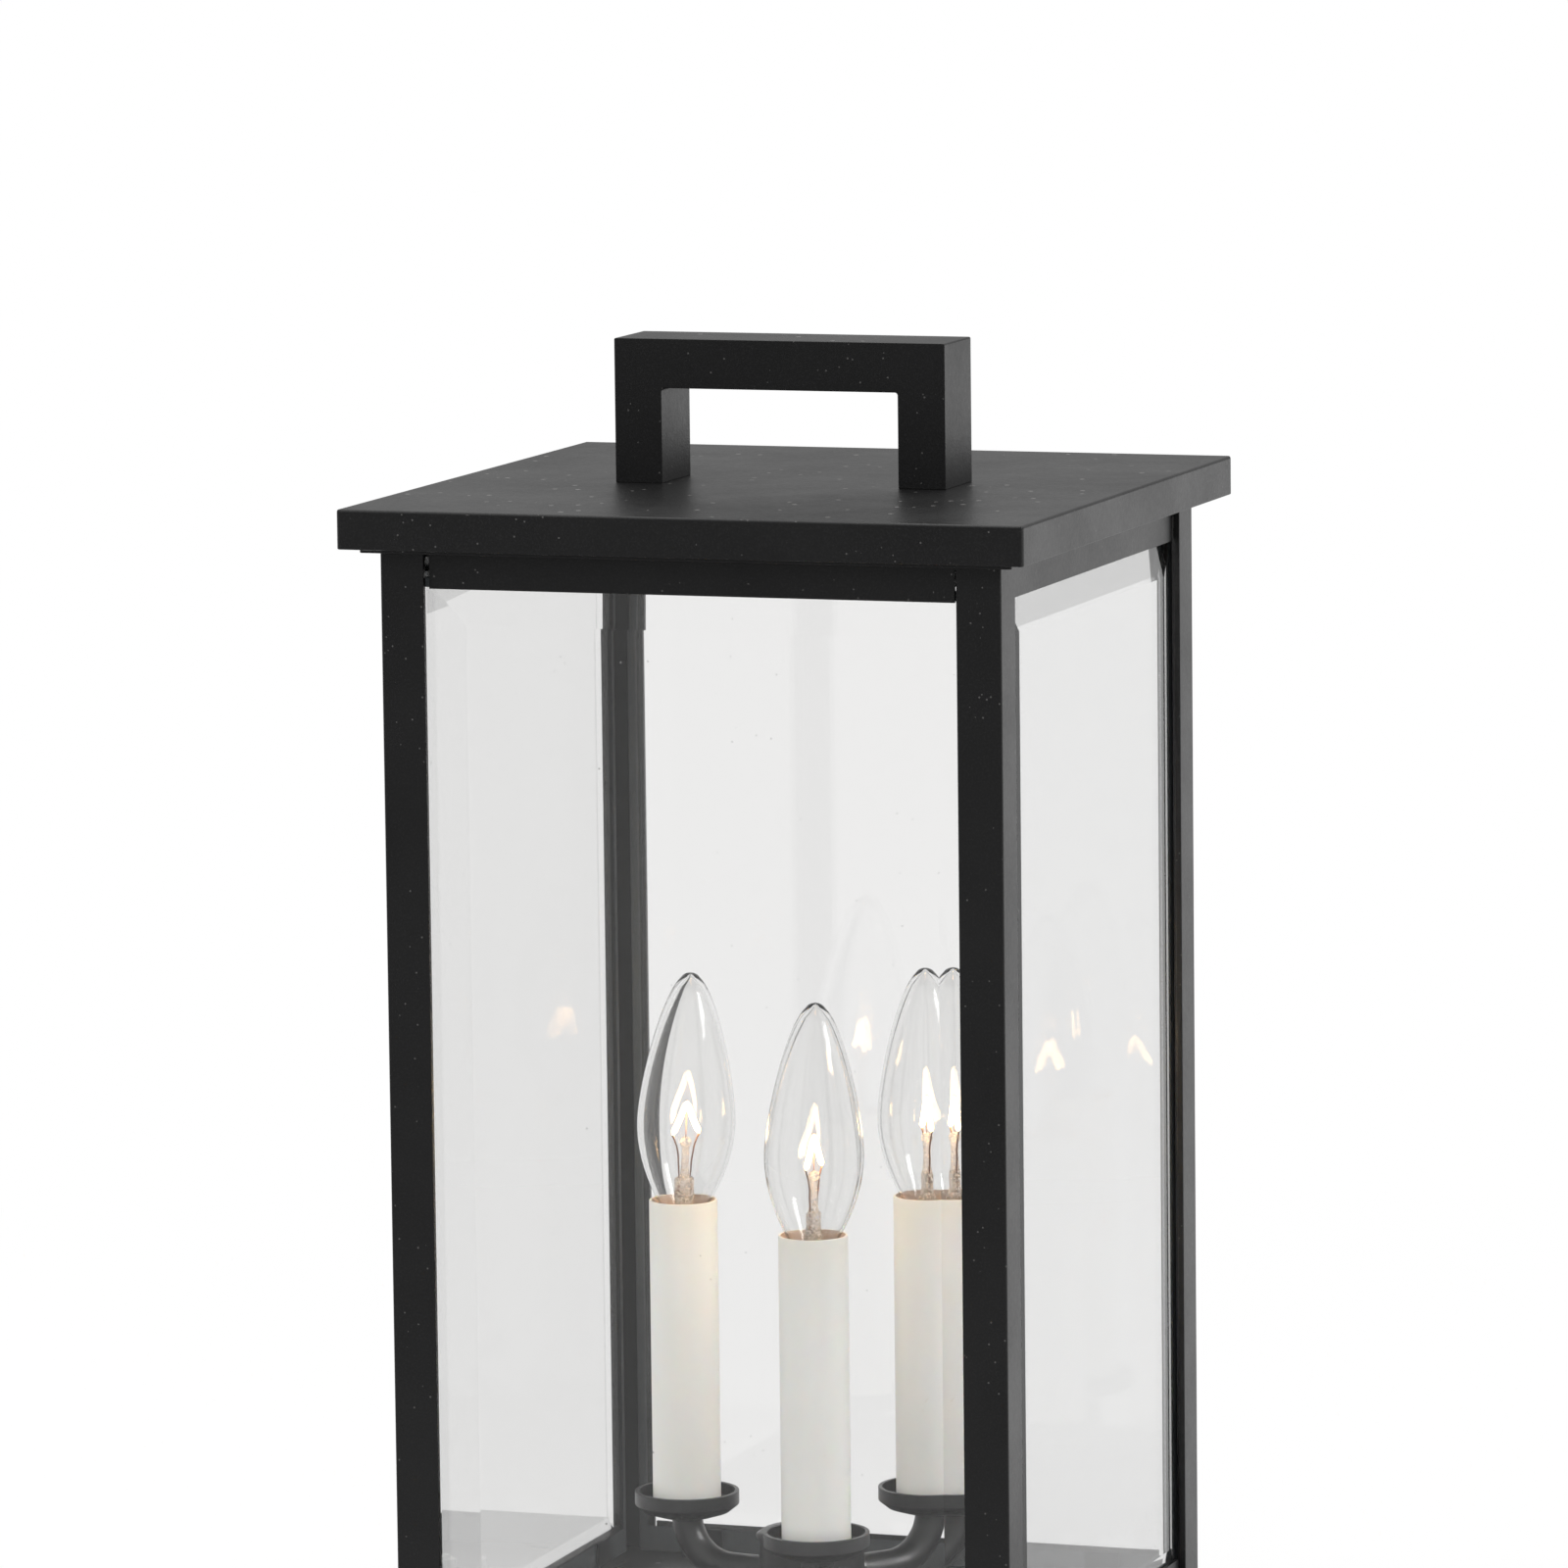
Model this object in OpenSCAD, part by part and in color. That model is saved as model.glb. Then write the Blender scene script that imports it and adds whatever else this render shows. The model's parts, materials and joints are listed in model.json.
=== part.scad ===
// Square pier lantern with three electric candles: angle posts between folded frames, bevelled
// panes, a lift-off roof with a bar handle, and a plinth that drops over a plate on the pier.

/* [Body] */
// Width and depth of the body over its posts
body_w = 204; // [165:1:250]
// Height of the posts
body_h = 359.6; // [295:0.1:435]
// Width of each post leg
post_w = 14.5; // [12:0.1:17.5]
// Thickness of each post leg
post_t = 2; // [1.6:0.1:2.5]
// Radius of a post's outer corner
post_r = 0.8; // [0.3:0.1:1.4]

/* [Frames] */
// Height of the rails between the posts
rail_h = 11.2; // [9.2:0.1:13.6]
// Sheet thickness of the folded frames
frame_t = 1.2; // [0.9:0.1:1.5]
// Open gap between a rail's end and the post beside it
rail_gap = 1.1; // [0.5:0.1:2]
// Width of the ring that stiffens the top frame
ring_w = 11.9; // [10:0.1:14]

/* [Glass] */
// Thickness of the panes
pane_t = 4; // [3:0.1:5]
// Width of the ground bevel
bevel_w = 14.5; // [12:0.1:17.5]
// Depth of the bevel at the pane's edge
bevel_drop = 1.65; // [1:0.05:2.2]
// How far the panes reach up behind the top rails
pane_lap = 3.3; // [2:0.1:4.5]
// Play on each side of a pane, up to the pane next to it
pane_play = 3.4; // [2:0.1:4.5]
// How far the front, right, back and left panes have slid along their walls
pane_slide = [2.7, 2.4, 0, 0]; // [-3:0.1:3]

/* [Roof] */
// How far the roof reaches past the posts
roof_eave = 10.5; // [7:0.5:16]
// Height of the roof's drop edge
roof_edge = 12.6; // [10:0.1:16]
// Metal thickness of the roof
roof_t = 2; // [1.5:0.1:2.6]
// How far the roof edge folds back underneath
hem_w = 10; // [6:0.5:14]
// How far the soffit plate is set in from the roof edge
soffit_inset = 5.5; // [3:0.5:8]
// Thickness of the soffit plate, which shows below the roof edge
lip_t = 1.5; // [1:0.1:2.5]
// Depth of the collar that centres the roof
collar_h = 8; // [6:0.1:9.6]

/* [Handle] */
// Length of the handle
handle_l = 111; // [90:1:135]
// Depth of the handle's bar
handle_d = 27; // [20:1:33]
// Height of the handle
handle_h = 46.3; // [38:0.1:58]
// Width of the legs and height of the bar
handle_bar = 15.8; // [12:0.1:19]
// Radius of the bolts inside the legs
bolt_r = 2.5; // [2:0.1:3]

/* [Base] */
// How far the base slab reaches past the posts
base_eave = 6; // [3:0.5:12]
// Height of the base slab
slab_h = 12.6; // [10:0.1:16]
// Metal thickness of the base slab
slab_t = 2; // [1.5:0.1:2.6]
// Width of the plinth
plinth_w = 150; // [125:1:180]
// Height of the plinth below the base slab
plinth_h = 22; // [18:0.5:30]
// Metal thickness of the plinth
plinth_t = 2.5; // [2:0.1:3]
// Thickness of the pier plate
plate_t = 3; // [2:0.1:4]
// Distance between the pier plate's anchor holes
anchor_span = 100; // [84:1:104]
// Radius of the anchor holes
anchor_r = 3.5; // [3:0.1:4.5]
// Radius of the hole for the supply leads
lead_hole_r = 16; // [12:0.5:20]
// Distance between the screws that hold the plinth under the body
base_screw_span = 110; // [96:1:124]

/* [Candles] */
// Distance of the candles from the middle
cluster_r = 45.8; // [40:0.1:54]
// How far the cluster is turned
cluster_turn = 21; // [0:1:119]
// How far the cluster stands to the right of the middle
cluster_x = 2.5; // [0:0.1:4]
// Outer diameter of a candle sleeve
sleeve_d = 22.2; // [21.6:0.1:26]
// Wall of a candle sleeve
sleeve_t = 0.9; // [0.6:0.1:1.1]
// Length of a candle sleeve
sleeve_l = 101.6; // [85:0.1:121]
// Outer diameter of the arm tubes
arm_d = 10; // [8.5:0.1:11.5]
// Wall of the arm tubes
arm_t = 1.6; // [1:0.1:2]
// Bend radius of the arms
bend_r = 16; // [13:0.5:19]
// Radius of a candle cup
cup_r = 17; // [15:0.5:20]
// Radius of the wiring hub
hub_r = 17; // [14.5:0.5:20]
// Height of the wiring hub
hub_h = 26; // [22:0.5:31]

/* [Lamps] */
// Widest radius of the lamp
lamp_r = 15.95; // [14:0.05:18]
// Height of the lamp above its sleeve
lamp_h = 74.6; // [68:0.1:88]
// Height of the widest point above the sleeve
lamp_belly = 25.5; // [22:0.1:29]
// How far the neck sits down in the sleeve
lamp_sink = 5; // [4:0.1:6]
// Wall of the glass envelope
lamp_t = 0.7; // [0.5:0.05:0.9]
// Radius of the screw base
base_r = 5.95; // [5:0.05:6.5]
// How far each lamp is screwed round: front, right, left
lamp_turn = [147, 76, 59]; // [0:1:180]
// How far each lamp's glass leans to the right on its base: front, right, left
lamp_lean = [1.2, 0, 2.6]; // [0:0.1:3]

/* [Hidden] */
$fn = 48;

// clearances
seat = 0.1;       // between pieces that are welded, riveted or screwed together
loose = 0.3;      // under and beside pieces that lift off
thread_fit = 0.05; // between a screw and its thread
cut = 1;          // how far a cutting tool runs past a face

// levels
z_base = plinth_h;
z_floor = plinth_h + slab_h;
z_deck = z_floor + frame_t;
z_top = z_floor + body_h;
z_lid = z_top + loose;
z_eave = z_lid + lip_t;
z_roof = z_eave + roof_edge;

// walls of the body, as distances from the middle
half_w = body_w / 2;
rail_out = half_w - post_t - seat;
rail_in = rail_out - frame_t;
rail_l = body_w - 2 * (post_w + rail_gap);
ring_in = rail_out - ring_w;

// panes: the bevel comes to rest on the edge of the bottom rail
pane_z = z_deck + seat;
pane_top = z_top - rail_h + pane_lap;
foot_lap = z_floor + rail_h - pane_z;
pane_out = rail_in - seat + bevel_drop * max(0, 1 - foot_lap / bevel_w);
pane_in = pane_out - pane_t;
pane_w = 2 * (pane_in - pane_play);
pane_h = pane_top - pane_z;

// roof
roof_w = body_w + 2 * roof_eave;
roof_corner_r = 1.5;
roof_edge_r = 1;
hem_t = 1.5;
soffit_w = roof_w - 2 * soffit_inset;
collar_out = ring_in - 1;
collar_t = 1.5;
bolt_x = (handle_l - handle_bar) / 2;
bolt_depth = 12;
handle_edge_r = 0.6;
handle_inner_r = 1;

// thumb screws pass over the back pane and press on the collar
thumb_x = body_w / 4;
thumb_z = (pane_top + z_top - frame_t) / 2;
thumb_r = min(2, (z_top - frame_t - pane_top) / 2 - loose);
thumb_head_r = min(4.2, z_lid - loose - thumb_z);
thumb_head_l = min(6.5, roof_eave - 1);

// glass clips
clip_w = 12;
clip_t = 0.8;
clip_reach = rail_h - frame_t - 1;
clip_x = body_w / 3;

// base
base_w = body_w + 2 * base_eave;
plinth_top = z_floor - slab_t;
plinth_in = plinth_w / 2 - plinth_t;
plate_half = plinth_in - 2.5;
ear_w = 30;
ear_z = plinth_h - 3;
side_screw_r = 2.5;
side_screw_z = plinth_h / 2 + 1;
small_screw_r = 2;

// cluster
stem_r = 5;
stem_bore_r = 3.3;
nut_h = 4;
lead_r = 1.3;
hub_z = z_deck + nut_h;
hub_t = 3;
finial_screw_r = 2.5;
arm_z = hub_z + hub_h / 2;
bend_top = arm_z + bend_r;
cup_floor_t = 2.9;
cup_floor = bend_top + cup_floor_t;
cup_rim_h = 5.5;
arm_end = cup_floor + 4;
rim_z = cup_floor + sleeve_l;
arm_r = arm_d / 2;

// sockets
neck_z = rim_z - lamp_sink;
lamp_base_l = 17.4;
shell_gap = loose;
shell_t = 0.35;
shell_r = base_r + shell_gap + shell_t;
socket_r = sleeve_d / 2 - sleeve_t - 1.7;
socket_top = neck_z - 1.3;
socket_h = 26;
socket_z = socket_top - socket_h;
contact_z = neck_z - lamp_base_l - loose;
strap_t = 1.2;
strap_w = 7;
strap_x = socket_r - strap_t;

// lamps
lamp_neck_r = 6.4;
tip_r = 2.4;
press_top = rim_z + 7.7;
button_z = rim_z + 18.8;
lead_top = rim_z + 21.5;
button_r = 1.9;
lead_foot_x = 2.1;
lead_bend_x = 2.6;
lead_x = 5.1;
tent_top = rim_z + 32.4;

function bezier(a, b, c, d, steps) =
  [for (i = [0:steps]) let (t = i / steps, u = 1 - t)
    u * u * u * a + 3 * u * u * t * b + 3 * u * t * t * c + t * t * t * d];

function reversed(list) = [for (i = [len(list) - 1:-1:0]) list[i]];

// outline of the envelope as [radius, height], grown inwards by the glass thickness
function lamp_outline(inset) = concat(
  bezier([lamp_neck_r - inset, neck_z], [9.5 - inset, rim_z + 1],
         [lamp_r - inset, rim_z + 0.47 * lamp_belly], [lamp_r - inset, rim_z + lamp_belly], 10),
  bezier([lamp_r - inset, rim_z + lamp_belly], [lamp_r - inset, rim_z + lamp_belly + 11],
         [9 - inset, rim_z + lamp_h - 7.6], [tip_r - inset, rim_z + lamp_h - 2], 16),
  [[0.5 * (tip_r - inset), rim_z + lamp_h - 0.5 - inset], [0, rim_z + lamp_h - inset]]);

function candle_turn(i) = cluster_turn - 90 + 120 * i;

module box(w, h) {
  translate([-w / 2, -w / 2, 0]) cube([w, w, h]);
}

module rounded_square(w, r) {
  square([w, w - 2 * r], center = true);
  square([w - 2 * r, w], center = true);
  for (sx = [-1, 1], sy = [-1, 1])
    translate([sx * (w / 2 - r), sy * (w / 2 - r)]) circle(r);
}

// a slab's cross-section, rounded along its two upper edges and run out to the slab's full width
module crowned_bar(w, h, r) {
  rotate([90, 0, 0])
    linear_extrude(w + 2 * cut, center = true) {
      translate([-w / 2, 0]) square([w, h - r]);
      translate([-w / 2 + r, 0]) square([w - 2 * r, h]);
      for (s = [-1, 1]) translate([s * (w / 2 - r), h - r]) circle(r);
    }
}

module crowned_slab(w, h, corner_r, edge_r) {
  intersection() {
    linear_extrude(h) rounded_square(w, corner_r);
    crowned_bar(w, h, edge_r);
    rotate([0, 0, 90]) crowned_bar(w, h, edge_r);
  }
}

// the four sides are front, right, back and left
module at_side(i) {
  rotate([0, 0, 90 * i]) children();
}

module at_stem() {
  translate([cluster_x, 0, 0]) children();
}

// candles 0, 1 and 2 are the front, right and left ones
module at_candle(i) {
  at_stem() rotate([0, 0, candle_turn(i)]) translate([cluster_r, 0, 0]) children();
}

module at_corners(span) {
  for (sx = [-1, 1], sy = [-1, 1]) translate([sx * span / 2, sy * span / 2, 0]) children();
}

module hex_nut(across, bore, h) {
  difference() {
    cylinder(r = across / sqrt(3), h = h, $fn = 6);
    translate([0, 0, -cut]) cylinder(r = bore, h = h + 2 * cut);
  }
}

module rod(from, to, r) {
  d = to - from;
  len = norm(d);
  translate(from)
    rotate([0, acos(d[2] / len), atan2(d[1], d[0])])
      cylinder(r = r, h = len, $fn = 16);
}

// pan-head screw along +Z, with its head below the origin and a hexagon socket
module pan_screw(r, l, head_r, head_h) {
  cylinder(r = r, h = l);
  translate([0, 0, -head_h])
    difference() {
      cylinder(r1 = head_r * 0.85, r2 = head_r, h = head_h);
      translate([0, 0, -cut]) cylinder(r = r * 0.7, h = head_h * 0.6 + cut, $fn = 6);
    }
}

// ---- roof ----

module roof_pan() {
  inner_w = roof_w - 2 * roof_t;
  color([0.05, 0.05, 0.05])
    difference() {
      translate([0, 0, z_eave]) crowned_slab(roof_w, roof_edge, roof_corner_r, roof_edge_r);
      translate([0, 0, z_eave + hem_t]) box(inner_w, roof_edge - roof_t - hem_t);
      translate([0, 0, z_eave - cut]) box(inner_w - 2 * hem_w, hem_t + 2 * cut);
      for (s = [-1, 1])
        translate([s * bolt_x, 0, z_roof - roof_t - cut])
          cylinder(r = bolt_r + seat, h = roof_t + 2 * cut);
    }
}

module soffit_plate() {
  color([0.05, 0.05, 0.05]) {
    translate([0, 0, z_lid]) linear_extrude(lip_t) rounded_square(soffit_w, 1);
    translate([0, 0, z_lid - collar_h])
      difference() {
        box(2 * collar_out, collar_h);
        translate([0, 0, -cut]) box(2 * (collar_out - collar_t), collar_h + cut);
      }
  }
}

module handle() {
  color([0.05, 0.05, 0.05])
    difference() {
      translate([0, 0, z_roof]) rotate([90, 0, 0])
        linear_extrude(handle_d, center = true) handle_outline();
      for (s = [-1, 1])
        translate([s * bolt_x, 0, z_roof - cut])
          cylinder(r = bolt_r + thread_fit, h = bolt_depth + cut + 1);
    }
}

module handle_outline() {
  gap_w = handle_l - 2 * handle_bar;
  gap_h = handle_h - handle_bar;
  difference() {
    union() {
      translate([-handle_l / 2, 0]) square([handle_l, handle_h - handle_edge_r]);
      translate([-handle_l / 2 + handle_edge_r, 0])
        square([handle_l - 2 * handle_edge_r, handle_h]);
      for (s = [-1, 1])
        translate([s * (handle_l / 2 - handle_edge_r), handle_h - handle_edge_r])
          circle(handle_edge_r);
    }
    translate([-gap_w / 2, -cut]) square([gap_w, gap_h - handle_inner_r + cut]);
    translate([-gap_w / 2 + handle_inner_r, -cut])
      square([gap_w - 2 * handle_inner_r, gap_h + cut]);
    for (s = [-1, 1])
      translate([s * (gap_w / 2 - handle_inner_r), gap_h - handle_inner_r])
        circle(handle_inner_r);
  }
}

module handle_bolts() {
  color([0.6, 0.6, 0.62])
    for (s = [-1, 1])
      translate([s * bolt_x, 0, z_roof - roof_t])
        pan_screw(bolt_r, roof_t + bolt_depth, 1.9 * bolt_r, 3);
}

module thumb_screw(side) {
  head_y = rail_out + loose;
  tip_y = collar_out + loose;
  color([0.05, 0.05, 0.05])
    translate([side * thumb_x, 0, thumb_z]) rotate([-90, 0, 0]) {
      translate([0, 0, tip_y]) cylinder(r = thumb_r, h = head_y - tip_y + 1);
      translate([0, 0, head_y]) cylinder(r = thumb_head_r * 0.75, h = 1.5);
      translate([0, 0, head_y + 1]) cylinder(r = thumb_head_r, h = thumb_head_l - 2);
      translate([0, 0, head_y + thumb_head_l - 1])
        cylinder(r1 = thumb_head_r, r2 = thumb_head_r - 0.8, h = 1);
    }
}

// ---- body ----

// angle section with its outer corner at the origin and its legs along +X and +Y
module post_section() {
  difference() {
    union() {
      translate([post_r, 0]) square([post_w - post_r, post_w]);
      translate([0, post_r]) square([post_w, post_w - post_r]);
      translate([post_r, post_r]) circle(post_r);
    }
    translate([post_t, post_t]) square(post_w);
  }
}

module post(corner) {
  color([0.05, 0.05, 0.05])
    rotate([0, 0, 90 * corner])
      translate([-half_w, -half_w, z_floor])
        linear_extrude(body_h) post_section();
}

// rail along a wall, with its outer face on rail_out
module rail(z) {
  translate([-rail_l / 2, -rail_out, z]) cube([rail_l, frame_t, rail_h]);
}

module top_frame() {
  color([0.05, 0.05, 0.05])
    difference() {
      union() {
        translate([0, 0, z_top - frame_t]) box(2 * rail_out, frame_t);
        for (i = [0:3]) at_side(i) rail(z_top - rail_h);
      }
      translate([0, 0, z_top - frame_t - cut]) box(2 * ring_in, frame_t + 2 * cut);
      for (s = [-1, 1])
        translate([s * thumb_x, rail_in - cut, thumb_z])
          rotate([-90, 0, 0]) cylinder(r = thumb_r + thread_fit, h = frame_t + 2 * cut);
    }
}

module bottom_frame() {
  color([0.05, 0.05, 0.05])
    difference() {
      union() {
        translate([0, 0, z_floor]) box(2 * rail_out, frame_t);
        for (i = [0:3]) at_side(i) rail(z_floor);
      }
      at_stem() translate([0, 0, z_floor - cut]) cylinder(r = stem_r + seat, h = frame_t + 2 * cut);
      at_corners(base_screw_span)
        translate([0, 0, z_floor - cut]) cylinder(r = small_screw_r + seat, h = frame_t + 2 * cut);
    }
}

// cross-section of a pane: flat inside on y = 0, bevelled outside towards -Y
function pane_section(s) = [
  [-s / 2, 0], [s / 2, 0], [s / 2, bevel_drop - pane_t], [s / 2 - bevel_w, -pane_t],
  [bevel_w - s / 2, -pane_t], [-s / 2, bevel_drop - pane_t]
];

module pane(i) {
  color([0.85, 0.9, 0.9, 0.35])
    at_side(i)
      translate([pane_slide[i], -pane_in, pane_z])
        intersection() {
          linear_extrude(pane_h) polygon(pane_section(pane_w));
          translate([-pane_w / 2, 0, pane_h / 2])
            rotate([0, 90, 0]) linear_extrude(pane_w) polygon(pane_section(pane_h));
        }
}

// folded tab: a foot against the frame at z = 0 and a leg along the glass
module clip() {
  leg_y = -(pane_in - seat);
  translate([-clip_w / 2, leg_y, 0]) cube([clip_w, clip_t, clip_reach]);
  translate([-clip_w / 2, leg_y, 0]) cube([clip_w, pane_in - ring_in - 1, clip_t]);
}

module lower_clips() {
  color([0.05, 0.05, 0.05])
    for (i = [0:3], s = [-1, 1])
      at_side(i) translate([s * clip_x, 0, z_deck]) clip();
}

module upper_clips() {
  color([0.05, 0.05, 0.05])
    for (i = [0:3], s = [-1, 1])
      at_side(i) translate([s * clip_x, 0, z_top - frame_t]) mirror([0, 0, 1]) clip();
}

// ---- base ----

module base_pan() {
  color([0.05, 0.05, 0.05])
    difference() {
      translate([0, 0, z_base]) crowned_slab(base_w, slab_h, roof_corner_r, roof_edge_r);
      translate([0, 0, z_base - cut]) box(base_w - 2 * slab_t, slab_h - slab_t + cut);
      at_stem() translate([0, 0, z_base]) cylinder(r = stem_r + seat, h = slab_h + cut);
      at_corners(base_screw_span)
        translate([0, 0, z_base]) cylinder(r = small_screw_r + seat, h = slab_h + cut);
    }
}

module plinth() {
  color([0.05, 0.05, 0.05])
    difference() {
      linear_extrude(plinth_top) rounded_square(plinth_w, roof_corner_r);
      translate([0, 0, -cut]) box(2 * plinth_in, plinth_top - plinth_t + cut);
      at_stem() cylinder(r = stem_r + seat, h = plinth_top + cut);
      at_corners(base_screw_span) cylinder(r = small_screw_r + seat, h = plinth_top + cut);
      for (i = [0:3])
        at_side(i) translate([0, -plinth_in + cut, side_screw_z])
          rotate([90, 0, 0]) cylinder(r = side_screw_r + seat, h = plinth_t + 2 * cut);
    }
}

module pier_plate() {
  color([0.6, 0.6, 0.62])
    difference() {
      union() {
        linear_extrude(plate_t) rounded_square(2 * plate_half, 6);
        for (i = [0:3])
          at_side(i) translate([-ear_w / 2, -plate_half, 0]) cube([ear_w, plate_t, ear_z]);
      }
      translate([0, 0, -cut]) cylinder(r = lead_hole_r, h = plate_t + 2 * cut);
      at_corners(anchor_span)
        translate([0, 0, -cut]) cylinder(r = anchor_r, h = plate_t + 2 * cut);
      translate([lead_hole_r + 12, 0, -cut]) cylinder(r = small_screw_r + thread_fit, h = plate_t + 2 * cut);
      for (i = [0:3])
        at_side(i) translate([0, -plate_half + plate_t + cut, side_screw_z])
          rotate([90, 0, 0]) cylinder(r = side_screw_r + thread_fit, h = plate_t + 2 * cut);
    }
}

module plinth_screws() {
  color([0.05, 0.05, 0.05])
    for (i = [0:3])
      at_side(i) translate([0, -plinth_w / 2, side_screw_z]) rotate([-90, 0, 0])
        pan_screw(side_screw_r, plinth_w / 2 - plate_half + plate_t + 3, 1.8 * side_screw_r, 2.6);
}

module ground_screw() {
  color([0.1, 0.45, 0.2])
    translate([lead_hole_r + 12, 0, plate_t]) mirror([0, 0, 1])
      pan_screw(small_screw_r, plate_t - seat, 2.2 * small_screw_r, 2.4);
}

module base_screws() {
  color([0.6, 0.6, 0.62])
    at_corners(base_screw_span)
      translate([0, 0, plinth_top - plinth_t])
        pan_screw(small_screw_r, z_deck - plinth_top + plinth_t + 4.5, 1.9 * small_screw_r, 2.4);
}

module base_nuts() {
  color([0.6, 0.6, 0.62])
    at_corners(base_screw_span)
      translate([0, 0, z_deck]) hex_nut(3.5 * small_screw_r, small_screw_r + thread_fit, 3.2);
}

// ---- cluster ----

module centre_stem() {
  bottom = plinth_top - plinth_t - nut_h - 5;
  color([0.6, 0.6, 0.62])
    at_stem() translate([0, 0, bottom])
      difference() {
        cylinder(r = stem_r, h = hub_z + hub_t + nut_h + 0.8 - bottom);
        translate([0, 0, -cut]) cylinder(r = stem_bore_r, h = hub_z + hub_h);
      }
}

module stem_nuts() {
  color([0.6, 0.6, 0.62])
    for (z = [plinth_top - plinth_t - nut_h, z_deck, hub_z + hub_t])
      at_stem() translate([0, 0, z]) hex_nut(17, stem_r + thread_fit, nut_h);
}

module hub_body() {
  color([0.05, 0.05, 0.05])
    at_stem() difference() {
      translate([0, 0, hub_z])
        rotate_extrude()
          polygon([[0, 0], [hub_r - 3, 0], [hub_r, 3], [hub_r, hub_h], [0, hub_h]]);
      translate([0, 0, hub_z + hub_t]) cylinder(r = hub_r - hub_t, h = hub_h);
      translate([0, 0, hub_z - cut]) cylinder(r = stem_r + seat, h = hub_h);
      for (i = [0:2])
        rotate([0, 0, candle_turn(i)])
          translate([0, 0, arm_z]) rotate([0, 90, 0]) cylinder(r = arm_r + seat, h = hub_r + cut);
    }
}

module hub_cap() {
  skirt_r = hub_r - hub_t - seat;
  color([0.05, 0.05, 0.05])
    at_stem() translate([0, 0, hub_z + hub_h])
      rotate_extrude()
        polygon([[finial_screw_r + thread_fit, 0], [skirt_r - 1.2, 0], [skirt_r - 1.2, -2.5],
                 [skirt_r, -2.5], [skirt_r, 0], [hub_r + 1, 0], [hub_r + 1, 1], [hub_r - 1, 2.2],
                 [stem_r + 4, hub_t], [finial_screw_r + thread_fit, hub_t]]);
}

module hub_finial() {
  r = 7.5;
  h = 9;
  color([0.05, 0.05, 0.05])
    at_stem() translate([0, 0, hub_z + hub_h + hub_t])
      rotate_extrude()
        polygon(concat([[0, -hub_t], [finial_screw_r, -hub_t], [finial_screw_r, 0], [r, 0],
                        [r, 2], [r - 1, 2.6]],
                       [for (a = [0:15:90]) [(r - 1) * cos(a), 3.4 + (h - 3.4) * sin(a)]]));
}

// tube run from the hub out to the candle, where it bends up, about the candle's own axis
module arm_run(r, over) {
  hub_end = hub_r - hub_t - cluster_r;
  translate([hub_end - over, 0, arm_z])
    rotate([0, 90, 0]) cylinder(r = r, h = -bend_r - hub_end + over);
  translate([-bend_r, 0, bend_top])
    rotate([90, 0, 0]) rotate([0, 0, -90])
      rotate_extrude(angle = 90) translate([bend_r, 0]) circle(r);
  translate([0, 0, bend_top]) cylinder(r = r, h = arm_end - bend_top + over);
}

module arm(i) {
  color([0.05, 0.05, 0.05])
    at_candle(i)
      difference() {
        arm_run(arm_r, 0);
        arm_run(arm_r - arm_t, cut);
      }
}

module cup(i) {
  color([0.05, 0.05, 0.05])
    at_candle(i)
      translate([0, 0, bend_top])
        rotate_extrude()
          polygon([[arm_r + seat, 0], [arm_r + 4, 0], [cup_r - 3, 1.6], [cup_r, 4],
                   [cup_r, cup_floor_t + cup_rim_h], [cup_r - 1.4, cup_floor_t + cup_rim_h],
                   [cup_r - 1.4, 4.6], [cup_r - 3.4, cup_floor_t], [arm_r + seat, cup_floor_t]]);
}

module socket_straps() {
  color([0.6, 0.6, 0.62])
    for (i = [0:2]) at_candle(i)
      difference() {
        union() {
          translate([0, 0, cup_floor]) cylinder(r = socket_r, h = strap_t);
          for (s = [-1, 1])
            translate([s * (strap_x + strap_t / 2) - strap_t / 2, -strap_w / 2, cup_floor])
              cube([strap_t, strap_w, socket_z - cup_floor]);
          translate([-socket_r + 0.2, -strap_w / 2, socket_z - strap_t])
            cube([2 * socket_r - 0.4, strap_w, strap_t]);
        }
        translate([0, 0, cup_floor - cut]) cylinder(r = arm_r + seat, h = strap_t + 2 * cut);
        translate([0, 0, socket_z - strap_t - cut]) cylinder(r = 2, h = strap_t + 2 * cut);
      }
}

module wiring() {
  splice_z = hub_z + hub_t + nut_h + 1.2;
  supply_z = plinth_top - plinth_t - nut_h - 8;
  color([0.85, 0.85, 0.82]) {
    at_stem() {
      translate([0, 0, splice_z]) cylinder(r = 4.5, h = hub_z + hub_h - 3 - splice_z);
      translate([0, 0, supply_z]) cylinder(r = 2.2, h = splice_z - supply_z + 0.5);
    }
    for (i = [0:2]) at_candle(i) {
      translate([-cluster_r, 0, arm_z]) rotate([0, 90, 0]) cylinder(r = lead_r, h = cluster_r - bend_r);
      translate([-bend_r, 0, bend_top])
        rotate([90, 0, 0]) rotate([0, 0, -90])
          rotate_extrude(angle = 90) translate([bend_r, 0]) circle(lead_r);
      translate([0, 0, bend_top]) cylinder(r = lead_r, h = socket_z - seat - bend_top);
    }
  }
}

module arm_nuts() {
  color([0.6, 0.6, 0.62])
    for (i = [0:2]) at_candle(i)
      translate([0, 0, cup_floor + strap_t])
        difference() {
          cylinder(r = min(arm_r + 1.5, strap_x - 0.3), h = 2.5);
          translate([0, 0, -cut]) cylinder(r = arm_r + thread_fit, h = 2.5 + 2 * cut);
        }
}

module socket(i) {
  color([0.12, 0.1, 0.09])
    at_candle(i)
      difference() {
        translate([0, 0, socket_z]) cylinder(r = socket_r, h = socket_h);
        translate([0, 0, contact_z - 1]) cylinder(r = shell_r + seat, h = socket_h);
      }
}

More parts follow.
